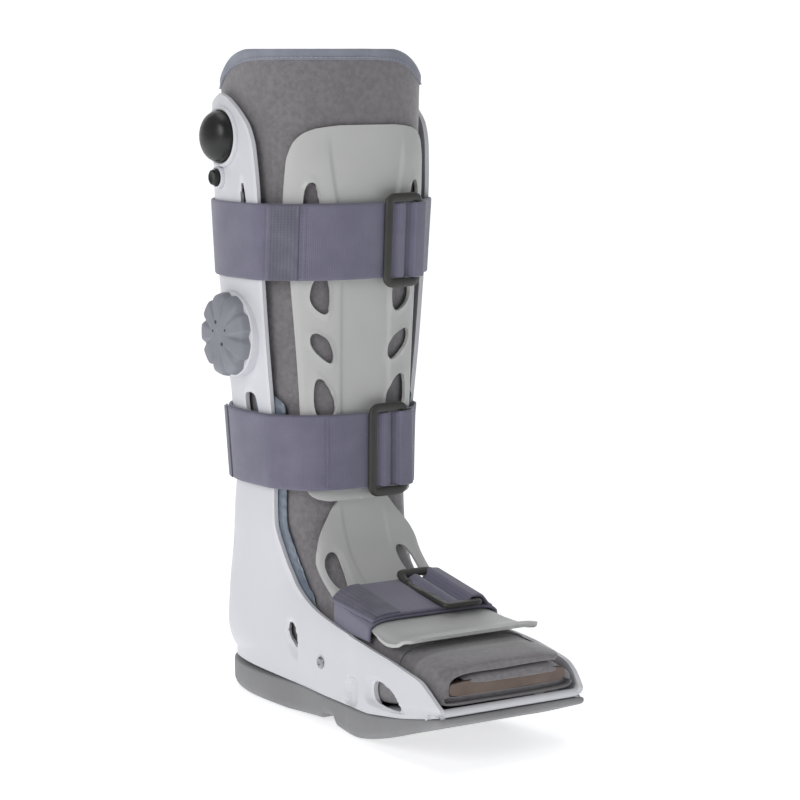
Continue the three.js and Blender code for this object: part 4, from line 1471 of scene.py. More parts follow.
@dataclass
class Insole:
    """The foam footbed, whose front end is seen under the toe flaps."""

    thickness: float = 9.0
    below: float = 6.3
    grow: float = -6.3
    rows: int = 110
    sides: int = 36

    def build(self) -> Piece:
        """Makes the footbed: flat rounded sections carried from the heel to the toe."""
        first = len(LEG_ROWS)
        station = np.linspace(first, FORM.last - 0.02, 500)
        _, far = FORM.reaches(station)
        sole = FORM.place(station, far, np.zeros_like(station))
        half = FORM.read("half", station) + self.grow
        keep = sole[:, 1] < 20
        y, floor, half = sole[keep, 1], sole[keep, 2], half[keep]
        back = np.linspace(0, np.pi / 2, 26, endpoint=False)
        y = np.concatenate([y[0] + (61 - y[0]) * np.cos(back), y])
        half = np.concatenate([half[0] * np.sin(back), half])
        floor = np.concatenate([np.full(26, FORM.underside), floor])
        order = np.linspace(0, 1, self.rows) ** 0.9
        place = np.linspace(0, len(y) - 1, len(y))
        pick = order * (len(y) - 1)
        y, half, floor = (np.interp(pick, place, a) for a in (y, half, floor))
        y = np.maximum(y, -212.6)
        a, b = section(self.sides, 7)
        middle = floor + self.below + self.thickness / 2
        x = np.maximum(half, 0.05)[:, None] * a
        z = middle[:, None] + self.thickness / 2 * b
        points = np.stack([x, y[:, None] + 0 * x, z], axis=-1)
        piece = Surface(points, wrap=True).piece("foam_footbed")
        close_ends(piece)
        round_edges(piece, 0.6)
        return finish_piece(piece, FOAM_FINISH, replaces=("insole",))


@dataclass
class AirCell:
    """A vinyl air cell between liner and shell, seen as a strip ahead of the shell's edge."""

    side: Side
    show: float = 6.6
    behind: float = 26.0
    grow: float = 1.55
    thickness: float = 2.3
    low: float = 73.0
    high: float = 213.0

    def build(self) -> Piece:
        """Makes the cell: a flat pillow carried along the shell's side edge.

        Its sections lie on the leg's side, from a welded flange ahead of the shell's edge
        back into the wall, thickest in the middle, with small puckers along the flange.
        """
        z = np.linspace(self.low, self.high, 110)
        order = np.argsort(column(EDGE, "z"))
        edge_y = smooth_table(column(EDGE, "z")[order], column(EDGE, "y")[order], z)
        a, b = section(28, 2.6)
        end = ease(np.minimum(z - self.low, self.high - z) / 9)
        half = (self.show + self.behind) / 2
        y = (edge_y - self.show + half)[:, None] + (half * (0.35 + 0.65 * end))[:, None] * a
        zz = z[:, None] + 0 * y
        pucker = 0.12 * np.sin(z * 0.9)[:, None] * (a < 0)
        out = self.thickness / 2 * b * (0.25 + 0.75 * end)[:, None]
        grow = self.grow + out + pucker
        station, along = FORM.at_side(y, zz)
        _, sideways = FORM.sideways(station, along, grow)
        x = self.side.value * (FORM.read("half", station) + grow) * sideways
        points = np.stack([x, y, zz], axis=-1)
        surface = Surface(points, wrap=True)
        name = "outer" if self.side is Side.OUTER else "inner"
        piece = surface.piece(f"vinyl_cell_{name}")
        close_ends(piece)
        return finish_piece(piece, CELL_FINISH, replaces=(f"air_cell_{name}",))


@dataclass(frozen=True)
class PlateRow:
    """Half the plate's width at a share of its length."""

    at: float
    half: float


@dataclass
class ShinPlate:
    """The flexible front plate of the leg, with a raised channel and rows of windows."""

    low: float = 141.0
    high: float = 387.0
    widest: float = 54.0
    grow: float = 2.5
    thickness: float = 2.2
    rows: int = 150
    columns: int = 84
    outline: list[PlateRow] = field(default_factory=lambda: [PlateRow(*row) for row in (
        (0, 0.5), (0.008, 0.66), (0.025, 0.74), (0.06, 0.775), (0.24, 0.8), (0.57, 0.9),
        (0.8, 1.0), (0.9, 0.985), (0.95, 0.93), (0.978, 0.83), (0.993, 0.66), (1, 0.4))])
    windows: list[list[Pair]] = field(default_factory=lambda: [
        [(40.5, 271), (38, 288.5), (27, 290), (26.5, 261)],
        [(39.5, 242.5), (38.5, 254.5), (24.5, 247.5), (24, 228.5)],
        [(36.5, 196), (37, 222), (31, 223), (22.5, 209.5), (23.5, 196)],
        [(45, 318), (45, 345), (41, 351.5), (36.5, 349), (33, 330), (32.5, 318)]])

    def build(self) -> Piece:
        """Makes the plate: rows up the shin, each as wide as the outline says there."""
        share = np.linspace(0, 1, self.rows)
        share = 0.5 - 0.5 * np.cos(np.pi * share) * (0.35 + 0.65 * np.abs(np.cos(np.pi * share)))
        share = np.linspace(0, 1, self.rows) * 0.6 + share * 0.4
        half = self.widest * smooth_table(
            column(self.outline, "at"), column(self.outline, "half"), share)
        z = self.low + share * (self.high - self.low)
        across = np.linspace(-1, 1, self.columns)
        x = half[:, None] * across[None]
        station = FORM.front_where((0, 1), z[:, None], x, self.grow)
        line = 17 + 10 * ease((z - 300) / 80)[:, None] + 4 * ease((170 - z) / 30)[:, None]
        channel = ease((np.abs(x) - line) / 3.2) * (1 - 0.25 * ease((np.abs(x) - line - 8) / 12))
        edge = ease((half[:, None] - np.abs(x)) / 2.4)
        inner = ease((z - self.low) / 30) * ease((self.high - z) / 26)
        relief = 1.5 * channel * inner[:, None] * (0.35 + 0.65 * edge)
        relief = relief + 2.8 * ease((154 - z) / 12)[:, None]
        points = FORM.front(station, x, self.grow - 0.3 + relief)
        surface = Surface(points)
        for side in Side:
            for corners in self.windows:
                shift = 6.5 * (side is Side.INNER) * (corners[0][1] < 300)
                placed = [(side.value * (a - shift * ease((42 - a) / 12)), b) for a, b in corners]
                shape = rounded(self.tightened(placed), 2)
                middle = shape.mean(axis=0)
                self.raise_rim(surface, middle + (shape - middle) * 1.3, 0.6)
                surface.cut(shape, FRONT_VIEW)
        piece = surface.piece("shin_guard")
        wall(piece, self.thickness, 0.7)
        return finish_piece(piece, PLATE_FINISH, replaces=("shin_plate",))

    def tightened(self, corners: list[Pair], cut: float = 0.24) -> list:
        """Puts two points near each corner, so that rounding keeps the edges straight."""
        here = np.array(corners, float)
        before, after = np.roll(here, 1, axis=0), np.roll(here, -1, axis=0)
        pair = np.stack([here + (before - here) * cut, here + (after - here) * cut], axis=1)
        return pair.reshape(-1, 2).tolist()

    def raise_rim(self, surface: Surface, outline: Array, height: float) -> None:
        """Raises a rounded rim round a window, along Y."""
        near = surface.near(outline, FRONT_VIEW)
        distance, _ = outline_distance(surface.points[near][:, FRONT_VIEW], outline)
        surface.points[near, 1] -= height * ease(-distance / 1.6)


@dataclass
class FootPlate:
    """The flexible plate over the instep, with two windows and a flared lip."""

    high: float = 150.0
    reach: float = 173.0
    widest: float = 56.0
    grow: float = 2.5
    thickness: float = 2.2
    square: float = 8.0
    flare: float = 5.0
    flare_length: float = 24.0
    rows: int = 110
    columns: int = 76
    outline: list[PlateRow] = field(default_factory=lambda: [PlateRow(*row) for row in (
        (0, 0.3), (0.04, 0.42), (0.08, 0.52), (0.13, 0.63), (0.18, 0.7), (0.25, 0.745),
        (0.42, 0.76), (0.6, 0.8), (0.78, 0.87), (0.93, 0.955), (0.975, 0.945), (1, 0.87))])

    def build(self) -> Piece:
        """Makes the plate: rows down the instep, each on one line of y plus z."""
        share = np.linspace(0, 1, self.rows)
        half = self.widest * smooth_table(
            column(self.outline, "at"), column(self.outline, "half"), share)
        lip_z = FORM.underside + FORM.toe_spring + FORM.toe_height
        target = (self.high - FORM.calf_front) * (1 - share) + (lip_z - self.reach) * share
        x = half[:, None] * np.linspace(-1, 1, self.columns)[None]
        station = FORM.front_where((1, 1), target[:, None], x, self.grow, self.square, 3.5)
        ahead = -FORM.front(station, np.zeros_like(x), self.grow, self.square)[..., 1]
        flare = (ahead - self.reach + self.flare_length) / self.flare_length
        flare = self.flare * np.clip(flare, 0, 1) ** 2
        crease = ease((np.abs(x) - 15) / 3) * (1 - ease((share[:, None] - 0.55) / 0.25))
        tuck = 1.2 * ease((0.12 - share) / 0.1)[:, None]
        points = FORM.front(station, x, self.grow + flare + 0.7 * crease - 0.2 - tuck, self.square)
        surface = Surface(points, flip=True)
        for side in Side:
            corners = [(25.5, 108.5), (33, 109.5), (38.5, 101), (38, 88), (30.5, 87), (26, 97)]
            shift = 0.0 if side is Side.OUTER else 7.0
            shape = rounded([(side.value * (a - shift), b) for a, b in corners], 3)
            middle = shape.mean(axis=0)
            near = surface.near(middle + (shape - middle) * 1.5, FRONT_VIEW)
            distance, _ = outline_distance(surface.points[near][:, FRONT_VIEW], shape)
            surface.points[near, 1:] += np.array([[0.7, -0.7]]) * ease(1 - distance / 4)[:, None]
            surface.cut(shape, FRONT_VIEW)
        piece = surface.piece("instep_guard")
        wall(piece, self.thickness, 0.7)
        return finish_piece(piece, PLATE_FINISH, replaces=("foot_plate",))


def ribbon(low: Array, high: Array, lift: Array, thickness: float, closed: bool,
           sides: int = 36) -> tuple[Array, Array, Array]:
    """Carries a flat rounded section between two edge lines.

    Args:
        low: points of the lower edge line.
        high: points of the upper edge line.
        lift: distance of the ribbon's middle from those lines, outwards.
        thickness: the ribbon's thickness.
        closed: whether the lines are loops.
        sides: points round the section.

    Returns:
        The points, the faces, and a coordinate pair a point along and across the ribbon.
    """
    across = (high - low) / 2
    middle = (high + low) / 2
    ahead = (np.roll(middle, -1, 0) - np.roll(middle, 1, 0) if closed
             else np.gradient(middle, axis=0))
    out = unit(np.cross(across, ahead))
    scale = np.ones(len(middle))
    if not closed:
        direction = unit(ahead)
        tip = thickness * 0.5 * np.array([[1.0], [0.8]])
        middle = np.concatenate([middle[:1] - direction[:1] * tip, middle,
                                 middle[-1:] + direction[-1:] * tip[::-1]])
        across, out, lift = (np.concatenate([a[:1], a[:1], a, a[-1:], a[-1:]])
                             for a in (across, out, lift))
        scale = np.concatenate([[0.03, 0.62], scale, [0.62, 0.03]])
    turn = circle(sides)
    a = np.sign(np.cos(turn)) * np.abs(np.cos(turn)) ** 0.8
    ends = 1 - np.clip((np.abs(a) - 0.96) / 0.04, 0, 1) ** 2
    t = np.sign(np.sin(turn)) * np.where(np.abs(a) < 0.999, np.sqrt(np.clip(ends, 0, 1)), 0)
    above = lift[:, None] + thickness / 2 * scale[:, None] * t[None]
    points = (middle[:, None] + across[:, None] * a[None, :, None]
              + out[:, None] * above[..., None])
    if closed:
        points, middle, across = (np.concatenate([a, a[:1]]) for a in (points, middle, across))
    along = path_length(middle)
    width = np.linalg.norm(across, axis=1)
    uv = np.stack([along[:, None] + 0 * a[None], width[:, None] * a[None]], axis=-1)
    return points.reshape(-1, 3), grid_faces(len(points), sides, wrap=True), uv.reshape(-1, 2)


def webbing(name: str, low: Array, high: Array, lift: Array, thickness: float,
            closed: bool, finish: Finish, replaces: tuple[str, ...] = ()) -> Piece:
    """Makes a finished layer of webbing between two edge lines.

    Args:
        name: the piece's name.
        low: points of the lower edge line.
        high: points of the upper edge line.
        lift: distance of the layer's middle from those lines, outwards.
        thickness: its thickness.
        closed: whether the lines are loops.
        finish: what it is made of.
        replaces: the nodes that it stands for.

    Returns:
        The layer.
    """
    piece = add_piece(name, *ribbon(low, high, lift, thickness, closed))
    weld(piece)
    return finish_piece(piece, finish, replaces=replaces)


@dataclass
class Strap:
    """What the three straps share: layers of webbing threaded through a frame buckle.

    Distances along a strap are measured from the buckle's middle, negative towards the
    outer side of the leg.
    """

    name: str
    buckle_x: float
    _: KW_ONLY
    thickness: float = 2.1
    hump: Triple = (3.0, 2.2, 1.6)
    loop_end: float = 26.0
    fade: float = 10.5
    shrink: float = 0.3
    tab_thickness: float = 0.9
    tab_shrink: float = 0.6
    buckle_wide: float = 31.0
    buckle_long: float = 62.0
    bar: float = 6.0
    bar_thickness: float = 3.4

    def build_base(self, low: Array, high: Array, closed: bool) -> Piece:
        """Makes the layer that lies on the boot, between its edge lines."""
        lift = np.full(len(low), self.thickness / 2 + 0.2)
        return webbing(f"{self.name}_webbing", low, high, lift, self.thickness, closed,
                       STRAP_FINISH, (self.name,))

    def layer(self, name: str, ends: Pair, lift: Callable[[Array], Array],
              thickness: float, finish: Finish, shrink: float) -> Piece:
        """Makes a layer over part of the strap.

        Args:
            name: the end of its name.
            ends: where it starts and ends.
            lift: its height over the edge lines for given distances.
            thickness: its thickness.
            finish: what it is made of.
            shrink: how much narrower it is on each side.

        Returns:
            The layer.
        """
        low, high, at = self.part(*ends)
        tilt = unit(high - low) * shrink
        return webbing(f"{self.name}_{name}", low + tilt, high - tilt, lift(at), thickness, False,
                       finish)

    def build_layers(self, start: float, tab: Pair) -> None:
        """Makes the layers in front of the base.

        The long layer passes under the frame's near bar, rises in a rounded hump in the
        opening and dives down; the short loop starts there and closes over the far bar.

        Args:
            start: where the long layer starts.
            tab: where the hook tab on it starts and ends.
        """
        t = self.thickness
        rest = 1.5 * t + 0.35
        tall, place, dive = self.hump

        def long_lift(at: Array) -> Array:
            """Height of the long layer."""
            hump = tall * np.exp(-((at + place) / 4.2) ** 2)
            return rest + hump - dive * ease((at - 1.0) / 3.4)

        def loop_lift(at: Array) -> Array:
            """Height of the loop."""
            over = 2 * t + 2.1 + self.bar_thickness / 2 + t / 2 + 0.1
            rise = ease((at - 5.0) / 4.0) * (1 - ease((at - 14.6) / self.fade))
            return rest - 0.8 + (over - rest + 0.8) * rise

        self.layer("outer_layer", (start, 4.6), long_lift, t, STRAP_FINISH, self.shrink)
        self.layer("buckle_loop", (5.2, self.loop_end), loop_lift, t, STRAP_FINISH,
                   self.shrink / 2)
        self.layer("hook_tab", tab, lambda at: np.full(at.shape, rest + t / 2 + 0.45),
                   self.tab_thickness, TAB_FINISH, self.tab_shrink)

    def build_frame(self, place: Array, normal: Array) -> Piece:
        """Makes the frame buckle: a rounded bar carried round a loop on the strap.

        Args:
            place: points under the bar, on the strap's edge lines.
            normal: outward directions there.

        Returns:
            The buckle.
        """
        normal = unit(normal)
        path = place + normal * (2 * self.thickness + 2.1)
        piece = add_piece(f"{self.name}_frame_buckle", *tube(
            path, normal, self.bar / 2, self.bar_thickness / 2, True, 16, 3.4))
        weld(piece)
        return finish_piece(piece, BUCKLE_FINISH,
                            replaces=(self.name.replace("strap", "buckle"),))


@dataclass
class LegStrap(Strap):
    """A webbing strap round the leg: a base ring, an outer layer and its frame buckle."""

    low: float
    tall: float
    outer_start: float
    tab: Pair
    seam: float
    clearance: float = 0.45

    def loop(self, z: float, count: int) -> Array:
        """The tight loop round shell and plate at a height, from the back round the inner side.

        For each direction the farthest carried point is found and moved outwards by the
        clearance; the loop is then spaced evenly.

        Args:
            z: the height.
            count: points round it.

        Returns:
            The points.
        """
        station = FORM.at_height(np.array([z]))
        angle = np.linspace(-np.pi, np.pi, 1441)
        shell = FORM.ring(station, angle, SHELL_OUT, SHELL_SQUARE)
        edge = np.interp(z, column(EDGE, "z")[::-1], column(EDGE, "y")[::-1])
        shell = shell[shell[:, 1] > edge][:, :2]
        plate_half = np.interp(z, [141, 200, 280, 340], [42, 43.5, 48, 54])
        plate = FORM.front(station, np.linspace(-plate_half, plate_half, 200), 4.2)[:, :2]
        points = np.concatenate([shell, plate])
        turn = circle(2400) + np.pi / 2
        direction = np.stack([np.sin(turn - np.pi / 2), np.cos(turn - np.pi / 2)], axis=1)
        far = (points @ direction.T).argmax(axis=0)
        line = points[far] + direction * self.clearance
        smooth = softened(evenly(line, count))
        return np.column_stack([smooth, np.full(count, z)])

    def edges(self, count: int = 400) -> tuple[Array, Array]:
        """The lower and upper edge lines of the base ring."""
        return self.loop(self.low, count), self.loop(self.low + self.tall, count)

    def part(self, start: float, end: float) -> tuple[Array, Array, Array]:
        """The edge lines between two distances from the buckle's middle.

        Args:
            start: distance along the strap, negative towards the outer side.
            end: distance of the other end.

        Returns:
            Points of the lower and the upper line, and their distances.
        """
        lines = []
        at = np.linspace(start, end, max(24, int(abs(end - start) / 0.8)))
        for line in self.edges(1200):
            front = np.where(line[:, 1] < 0, np.abs(line[:, 0] - self.buckle_x), 1e3).argmin()
            line = np.roll(line, 600 - front, axis=0)
            length = path_length(line)
            sign = np.sign(line[620, 0] - line[580, 0])
            lines.append(along_path(line, length[600] + sign * at)[::-1])
        return lines[0], lines[1], at[::-1]

    def build_seam(self, at: float) -> None:
        """Sews the outer layer's end down with two rows of stitches across the strap.

        Args:
            at: the first row's distance from the buckle's middle.
        """
        for index, shift in enumerate((0.0, 2.6)):
            low, high, _ = self.part(at + shift - 0.5, at + shift + 0.5)
            start, end = low[12], high[12]
            out = unit(np.cross(end - start, low[-1] - low[0]))
            share = np.linspace(0.03, 0.97, 60)[:, None]
            path = start + (end - start) * share + out * (2 * self.thickness + 0.45)
            points, faces = stitches(path, np.tile(out, (60, 1)), 2.6, 1.9, 0.28)
            piece = add_piece(f"{self.name}_seam_{index + 1}", points, faces)
            finish_piece(piece, STRAP_FINISH)

    def build_buckle(self) -> Piece:
        """Makes the frame buckle: a rounded bar round a tall opening, lying on the strap."""
        wide, tall = (self.buckle_wide - self.bar) / 2, (self.buckle_long - self.bar) / 2
        corner = 4.5
        turn = np.linspace(0, np.pi / 2, 9)
        corners = []
        for sx, sy, base in ((1, 1, 0), (-1, 1, 1), (-1, -1, 2), (1, -1, 3)):
            angle = turn + base * np.pi / 2
            corners.append(np.stack([sx * (wide - corner) + corner * np.cos(angle),
                                     sy * (tall - corner) + corner * np.sin(angle)], axis=1))
        outline = np.concatenate(corners)
        outline = evenly(outline, 160)
        x = self.buckle_x + outline[:, 0]
        z = self.low + self.tall / 2 + outline[:, 1]
        low, high = (line[::-1] for line in self.part(-27, 27)[:2])
        at = (low[:, 0] + high[:, 0]) / 2
        share = np.clip((z - self.low) / self.tall, -0.3, 1.3)
        y_low, y_high = np.interp(x, at, low[:, 1]), np.interp(x, at, high[:, 1])
        y = y_low + (y_high - y_low) * share
        slope = np.gradient(low[:, 1], at)
        lean = np.interp(x, at, slope)
        normal = np.stack([lean, -np.ones_like(lean), (y_high - y_low) / self.tall], axis=1)
        return self.build_frame(np.stack([x, y, z], axis=1), normal)

    def build(self) -> None:
        """Makes every piece of the strap."""
        self.build_base(*self.edges(), True)
        self.build_layers(self.outer_start, self.tab)
        self.build_seam(self.seam)
        self.build_buckle()


@dataclass
class FootStrap(Strap):
    """The strap over the instep plate: a base layer, an outer layer and its buckle."""

    name: str = "foot_strap"
    buckle_x: float = 19.0
    hump: Triple = (2.6, 2.4, 1.4)
    loop_end: float = 24.0
    fade: float = 9.0
    shrink: float = 0.2
    back: float = -83.0
    wide: float = 50.0
    floor: float = 66.0
    grow: float = 3.0
    square: float = 8.0
    first: float = 6.0
    outer_start: float = -65.0
    tab: Pair = (-64.0, -46.0)

    def line(self, y: float, x: Array) -> Array:
        """A line across the foot at one y, over the instep's face."""
        station = FORM.front_where((1, 0), np.full(x.shape, y), x, self.grow, self.square,
                                   self.first)
        return FORM.front(station, x, self.grow, self.square)

    def part(self, start: float, end: float) -> tuple[Array, Array, Array]:
        """The front and back edge lines between two distances from the buckle's middle.

        Args:
            start: distance across the foot, negative towards the outer side.
            end: distance of the other end.

        Returns:
            Points of the two lines, and their distances.
        """
        first, last = self.buckle_x + start, self.buckle_x + end
        x = np.linspace(first, last, max(30, int(abs(last - first) / 0.8)))
        return self.line(self.back, x), self.line(self.back - self.wide, x), x - self.buckle_x

    def sided(self) -> tuple[Array, Array]:
        """Edge lines of the base layer, which run down both sides into the shell.

        Returns:
            The front and the back line.
        """
        lines = []
        for y in (self.back, self.back - self.wide):
            station = FORM.front_where((1, 0), np.array([y]), np.zeros(1), self.grow,
                                       self.square, self.first)
            half = FORM.read("half", station)[0] - 0.6
            lines.append(self.bent(self.line(y, np.linspace(-half, half, 150))))
        return lines[0], lines[1]

    def bent(self, line: Array) -> Array:
        """Adds straight ends that run down the foot's sides.

        Args:
            line: the line over the foot.

        Returns:
            The line with its ends.
        """
        down = np.linspace(0, 1, 12)[1:]
        ends = []
        for sign, tip in ((-1, line[0]), (1, line[-1])):
            drop = np.maximum(tip[2] - self.floor, 4.0)
            x = tip[0] + sign * 0.5 * np.sin(down * np.pi / 2)
            ends.append(np.stack([x, np.full(11, tip[1]), tip[2] - drop * down], axis=1))
        return np.concatenate([ends[0][::-1], line, ends[1]])

    def build_buckle(self) -> Piece:
        """Makes the frame buckle, which bridges the strap from front to back."""
        wide, long = (self.buckle_wide - self.bar) / 2, (self.buckle_long - self.bar) / 2
        box = np.array([(-wide, -long), (wide, -long), (wide, long), (-wide, long)])
        outline = softened(evenly(box, 200))
        x = self.buckle_x + outline[:, 0]
        y = self.back - self.wide / 2 + outline[:, 1]
        grid_y = np.linspace(self.back - self.wide - 9, self.back + 9, 14)
        grid_x = np.linspace(x.min() - 1, x.max() + 1, 40)
        height = np.stack([self.line(value, grid_x)[:, 2] for value in grid_y])
        v = (y - grid_y[0]) / (grid_y[1] - grid_y[0])
        u = (x - grid_x[0]) / (grid_x[1] - grid_x[0])
        i, j = np.clip(v.astype(int), 0, 12), np.clip(u.astype(int), 0, 38)
        fv, fu = v - i, u - j
        z = (height[i, j] * (1 - fv) * (1 - fu) + height[i + 1, j] * fv * (1 - fu)
             + height[i, j + 1] * (1 - fv) * fu + height[i + 1, j + 1] * fv * fu)
        slope = (height[i + 1, j] - height[i, j]) / (grid_y[1] - grid_y[0])
        side = (height[i, j + 1] - height[i, j]) / (grid_x[1] - grid_x[0])
        normal = np.stack([-side, -slope, np.ones_like(slope)], axis=1)
        return self.build_frame(np.stack([x, y, z], axis=1), normal)

    def build(self) -> None:
        """Makes every piece of the strap."""
        self.build_base(*self.sided(), False)
        self.build_layers(self.outer_start, self.tab)
        self.build_buckle()


@dataclass
class Controls:
    """What stands on the outer side of the leg: pump bulb, release button, dial and rivet."""

    bulb: Pair = (10.0, 379.0)
    button: Pair = (16.0, 352.1)
    dial: Pair = (8.0, 249.0)
    rivet: Pair = (-75.0, 41.0)
    dial_radius: float = 27.7
    sides: int = 72

    def disc(self, name: str, profile: list[Pair], centre: Pair,
             base: float, finish: Finish, body: str = "boot", replaces: tuple[str, ...] = (),
             smooth: int = 1) -> Piece:
        """Makes a turned piece whose axis points out of the leg's outer side.

        Each pass puts two points on every span of the profile, a quarter of the way from
        either end, which rounds its corners. The profile is then turned about its axis.

        Args:
            name: the piece's name.
            profile: distances from the axis and outwards.
            centre: y and z of the axis.
            base: the x that outward distances are measured from.
            finish: what it is made of.
            body: the body that it rides on.
            replaces: the nodes that it stands for.
            smooth: how many passes round it.

        Returns:
            The piece.
        """
        points = np.array(profile, float)
        for _ in range(smooth):
            middle = np.stack([0.75 * points[:-1] + 0.25 * points[1:],
                               0.25 * points[:-1] + 0.75 * points[1:]], axis=1).reshape(-1, 2)
            points = np.concatenate([points[:1], middle, points[-1:]])
        points[0, 0] = max(points[0, 0], 0.02)
        angle = circle(self.sides)
        radius, out = points[:, 0, None], points[:, 1, None]
        grid = np.stack(np.broadcast_arrays(base - out, centre[0] + radius * np.cos(angle),
                                            centre[1] + radius * np.sin(angle)), axis=-1)
        piece = Surface(grid, wrap=True).piece(name)
        close_ends(piece)
        return finish_piece(piece, finish, body, replaces)

    def build_bulb(self) -> None:
        """Makes the squeeze bulb, a soft dome, and the pale ring that it sits in."""
        self.disc("bulb_ring", [(16.9, 0.0), (19.6, 0.0), (20.0, 5.6), (19.2, 7.6), (18.0, 7.6),
                                (17.2, 6.8), (16.9, 5.0)],
                  self.bulb, node_box("bulb_collar")[1][0], SHELL_FINISH,
                  replaces=("bulb_collar",), smooth=2)
        turn = np.linspace(np.pi / 2, 0, 9)
        dome = [(16.7 * np.cos(a) ** 0.9 if a < 1.5 else 0.02, 10.5 * np.sin(a) ** 0.9)
                for a in turn]
        self.disc("squeeze_bulb", [*dome, (16.8, -2.0), (15.5, -4.0), (10.0, -4.0)], self.bulb,
                  node_box("pump_bulb")[1][0], BULB_FINISH, replaces=("pump_bulb",))

    def build_button(self) -> None:
        """Makes the release button, which slides in its ring, a cup with a low floor."""
        low, high = node_box("button_collar")
        tall = high[0] - low[0]
        self.disc("button_ring", [(0.02, -2.4), (5.2, -2.4), (7.1, -1.2), (7.3, 1.6), (7.0, tall),
                                  (6.1, tall), (5.6, tall * 0.8), (5.6, -1.4), (5.5, -1.9),
                                  (5.1, -1.9), (0.02, -1.9)],
                  self.button, high[0], SHELL_FINISH, replaces=("button_collar",))
        low, high = node_box("release_button")
        tall = high[0] - low[0]
        self.disc("release_cap", [(0.02, tall - 0.5), (2.6, tall - 0.4), (4.2, tall),
                                  (5.1, tall - 0.6), (5.2, 0.6), (5.1, 0.0), (2.0, 0.0)],
                  self.button, high[0], BULB_FINISH, "button", ("release_button",))

    def build_dial(self) -> None:
        """Makes the dial's seat and the knob with scalloped grips and grooves.

        The knob is a polar grid: its radius dips at each grip and its height falls from a
        flat middle to a rounded rim, with shallow grooves that run in from the grips.
        """
        low, high = node_box("dial_knob")
        self.disc("dial_ring", [(0.02, 2.6), (24.0, 2.6), (28.4, 2.4), (28.6, 0.8), (28.4, -6.0)],
                  self.dial, high[0], SHELL_FINISH, replaces=("dial_seat",))
        angle = circle(216)
        ring = np.array([0.001, 0.12, 0.25, 0.38, 0.5, 0.6, 0.68, 0.75, 0.81, 0.86, 0.9, 0.935,
                         0.965, 0.985, 0.997, 1.0, 1.0, 0.99])[:, None]
        out = np.array([1.0, 1.0, 0.998, 0.995, 0.99, 0.985, 0.975, 0.96, 0.94, 0.91, 0.87, 0.81,
                        0.72, 0.6, 0.45, 0.25, 0.08, 0.02])[:, None]
        grip = 0.5 - 0.5 * np.cos(9 * angle)
        dip = np.where(grip > 0.5, (grip - 0.5) * 2, 0) ** 1.5
        radius = self.dial_radius * ring * (1 - 0.085 * dip * ease((ring - 0.5) / 0.4))
        groove = dip**2 * ease((ring - 0.45) / 0.12) * 1.5
        x = high[0] - (high[0] - low[0]) * out + groove * (out > 0.3)
        y = self.dial[0] + radius * np.cos(angle)
        z = self.dial[1] + radius * np.sin(angle)
        knob = Surface(np.stack([x, y, z], axis=-1), wrap=True).piece("pressure_dial")
        close_ends(knob)
        finish_piece(knob, DIAL_FINISH, "dial", ("dial_knob",))
        dots = ((4.0, 8.0, 1.3), (-4.0, -6.0, 1.3), (7.5, 2.0, 0.8), (-8, 3.5, 0.8))
        for index, (a, b, r) in enumerate(dots):
            dot = [(0.02, 0.35), (r * 0.8, 0.3), (r, 0.1), (r, -0.4)]
            self.disc(f"dial_mark_{index + 1}", dot, (self.dial[0] + a, self.dial[1] + b),
                      low[0], MARK_FINISH, "dial")

    def build_rivet(self) -> None:
        """Makes the fastener low on the shell's side."""
        low, high = node_box("rivet")
        tall = high[0] - low[0]
        self.disc("side_fastener", [(0.02, tall - 0.5), (1.3, tall - 0.5), (1.5, tall),
                                    (2.8, tall - 0.1), (3.9, tall - 0.7), (4.0, tall - 1.3),
                                    (1.8, tall - 1.4), (1.8, 0.0)],
                  self.rivet, high[0], RIVET_FINISH, replaces=("rivet",))

    def build(self) -> None:
        """Makes every control."""
        self.build_bulb()
        self.build_button()
        self.build_dial()
        self.build_rivet()


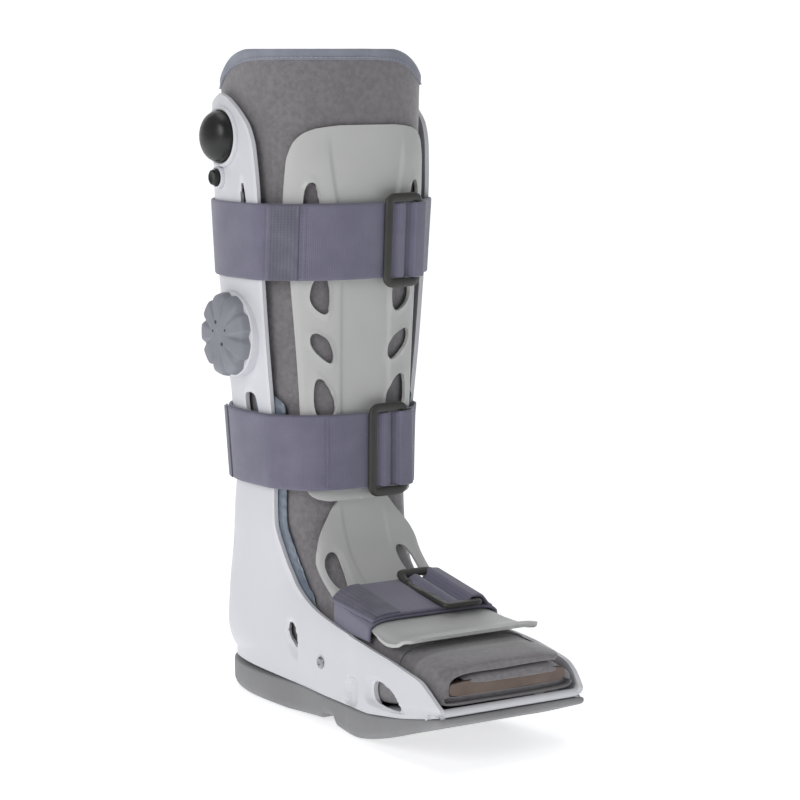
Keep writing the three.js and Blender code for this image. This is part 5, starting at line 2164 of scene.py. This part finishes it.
@dataclass
class Studio:
    """A pale floor, soft light and a camera at the photograph's angle; not part of the boot."""

    place: Triple = (-0.9661, -1.5255, 0.437)
    tilt: float = 7.45
    turn: float = -34.0
    lens: float = 121.5
    sensor: float = 36.0

    def build_camera(self) -> None:
        """Makes the camera and gives it to the scene."""
        data = bpy.data.cameras.new("camera")
        data.lens, data.sensor_width = self.lens, self.sensor
        data.sensor_fit = "HORIZONTAL"
        data.clip_start = 0.05
        camera = bpy.data.objects.new("camera", data)
        camera.location = self.place
        camera.rotation_euler = (math.radians(90 - self.tilt), 0, math.radians(self.turn))
        bpy.context.scene.collection.objects.link(camera)
        bpy.context.scene.camera = camera

    def build_light(self, name: str, place: Triple, size: float,
                    power: float, colour: Triple) -> None:
        """Makes one soft square light that faces the boot.

        Args:
            name: the light's name.
            place: where it stands.
            size: its side in metres.
            power: its watts.
            colour: its colour.
        """
        data = bpy.data.lights.new(name, "AREA")
        data.size, data.energy, data.color = size, power, colour
        light = bpy.data.objects.new(name, data)
        light.location = place
        aim = Vector((0, -0.03, 0.2)) - Vector(place)
        light.rotation_euler = aim.to_track_quat("-Z", "Y").to_euler()
        bpy.context.scene.collection.objects.link(light)

    def build_floor(self) -> None:
        """Makes the floor, which curves up far behind the boot."""
        x = np.linspace(-3, 3, 2)
        run = np.concatenate([[-3, 1.2], 1.2 + 1.6 * np.sin(np.linspace(0.05, 1, 12) * np.pi / 2)])
        rise = np.concatenate([[0, 0], 1.6 * (1 - np.cos(np.linspace(0.05, 1, 12) * np.pi / 2))])
        run, rise = np.append(run, run[-1]), np.append(rise, 4.0)
        angle = math.radians(self.turn)
        along, across = np.meshgrid(run, x, indexing="ij")
        level = np.repeat(rise[:, None], 2, axis=1)
        points = np.stack([across * math.cos(angle) - along * math.sin(angle),
                           across * math.sin(angle) + along * math.cos(angle), level], axis=-1)
        floor = Surface(points / MM).piece("studio_floor")
        material = bpy.data.materials.new("pale paper")
        material.use_nodes = True
        shader = material.node_tree.nodes["Principled BSDF"]
        for name, value in (("Base Color", (0.93, 0.935, 0.945, 1)), ("Roughness", 0.8),
                            ("Specular IOR Level", 0.2), ("Emission Color", (1, 1, 1, 1)),
                            ("Emission Strength", 0.55)):
            shader.inputs[name].default_value = value
        floor.data.materials.append(material)

    def build(self) -> None:
        """Makes camera, floor and light."""
        self.build_camera()
        self.build_floor()
        world = bpy.data.worlds.new("studio")
        world.use_nodes = True
        background = world.node_tree.nodes["Background"]
        background.inputs["Color"].default_value = (0.97, 0.98, 1.0, 1)
        background.inputs["Strength"].default_value = 0.27
        bpy.context.scene.world = world
        bpy.context.scene.view_settings.view_transform = "Standard"
        self.build_light("key", (-2.0, -0.9, 1.3), 1.2, 19.5, (1.0, 0.99, 0.98))
        self.build_light("fill", (1.9, -1.6, 1.0), 1.6, 1.6, (0.96, 0.98, 1.0))
        self.build_light("top", (0.0, 0.3, 2.2), 1.2, 7.5, (1.0, 1.0, 1.0))


def main() -> None:
    """Builds the boot's sub-assemblies in order and reports each piece."""
    logging.basicConfig(level=logging.INFO, format="%(message)s")
    Studio().build()
    shell = Shell()
    shell.build()
    shell.build_lip()
    Outsole().build()
    liner = Liner()
    liner.build_wall()
    liner.build_binding()
    liner.build_stitches()
    liner.build_flap("inner_toe_flap", Side.INNER, 7.4)
    liner.build_flap("outer_toe_flap", Side.OUTER, 0.0)
    Insole().build()
    for side in Side:
        AirCell(side).build()
    ShinPlate().build()
    FootPlate().build()
    LegStrap("upper_strap", 23, 287, 50, -92, (-90, -72), -70).build()
    LegStrap("lower_strap", 13, 149, 50, -143, (-142, -131), -45).build()
    FootStrap().build()
    Controls().build()


def plain(bounds: Iterable[Iterable[float]]) -> list[list[float]]:
    """A box as plain lists of numbers."""
    return [[round(float(value), 5) for value in corner] for corner in bounds]


if __name__ == "__main__":
    main()
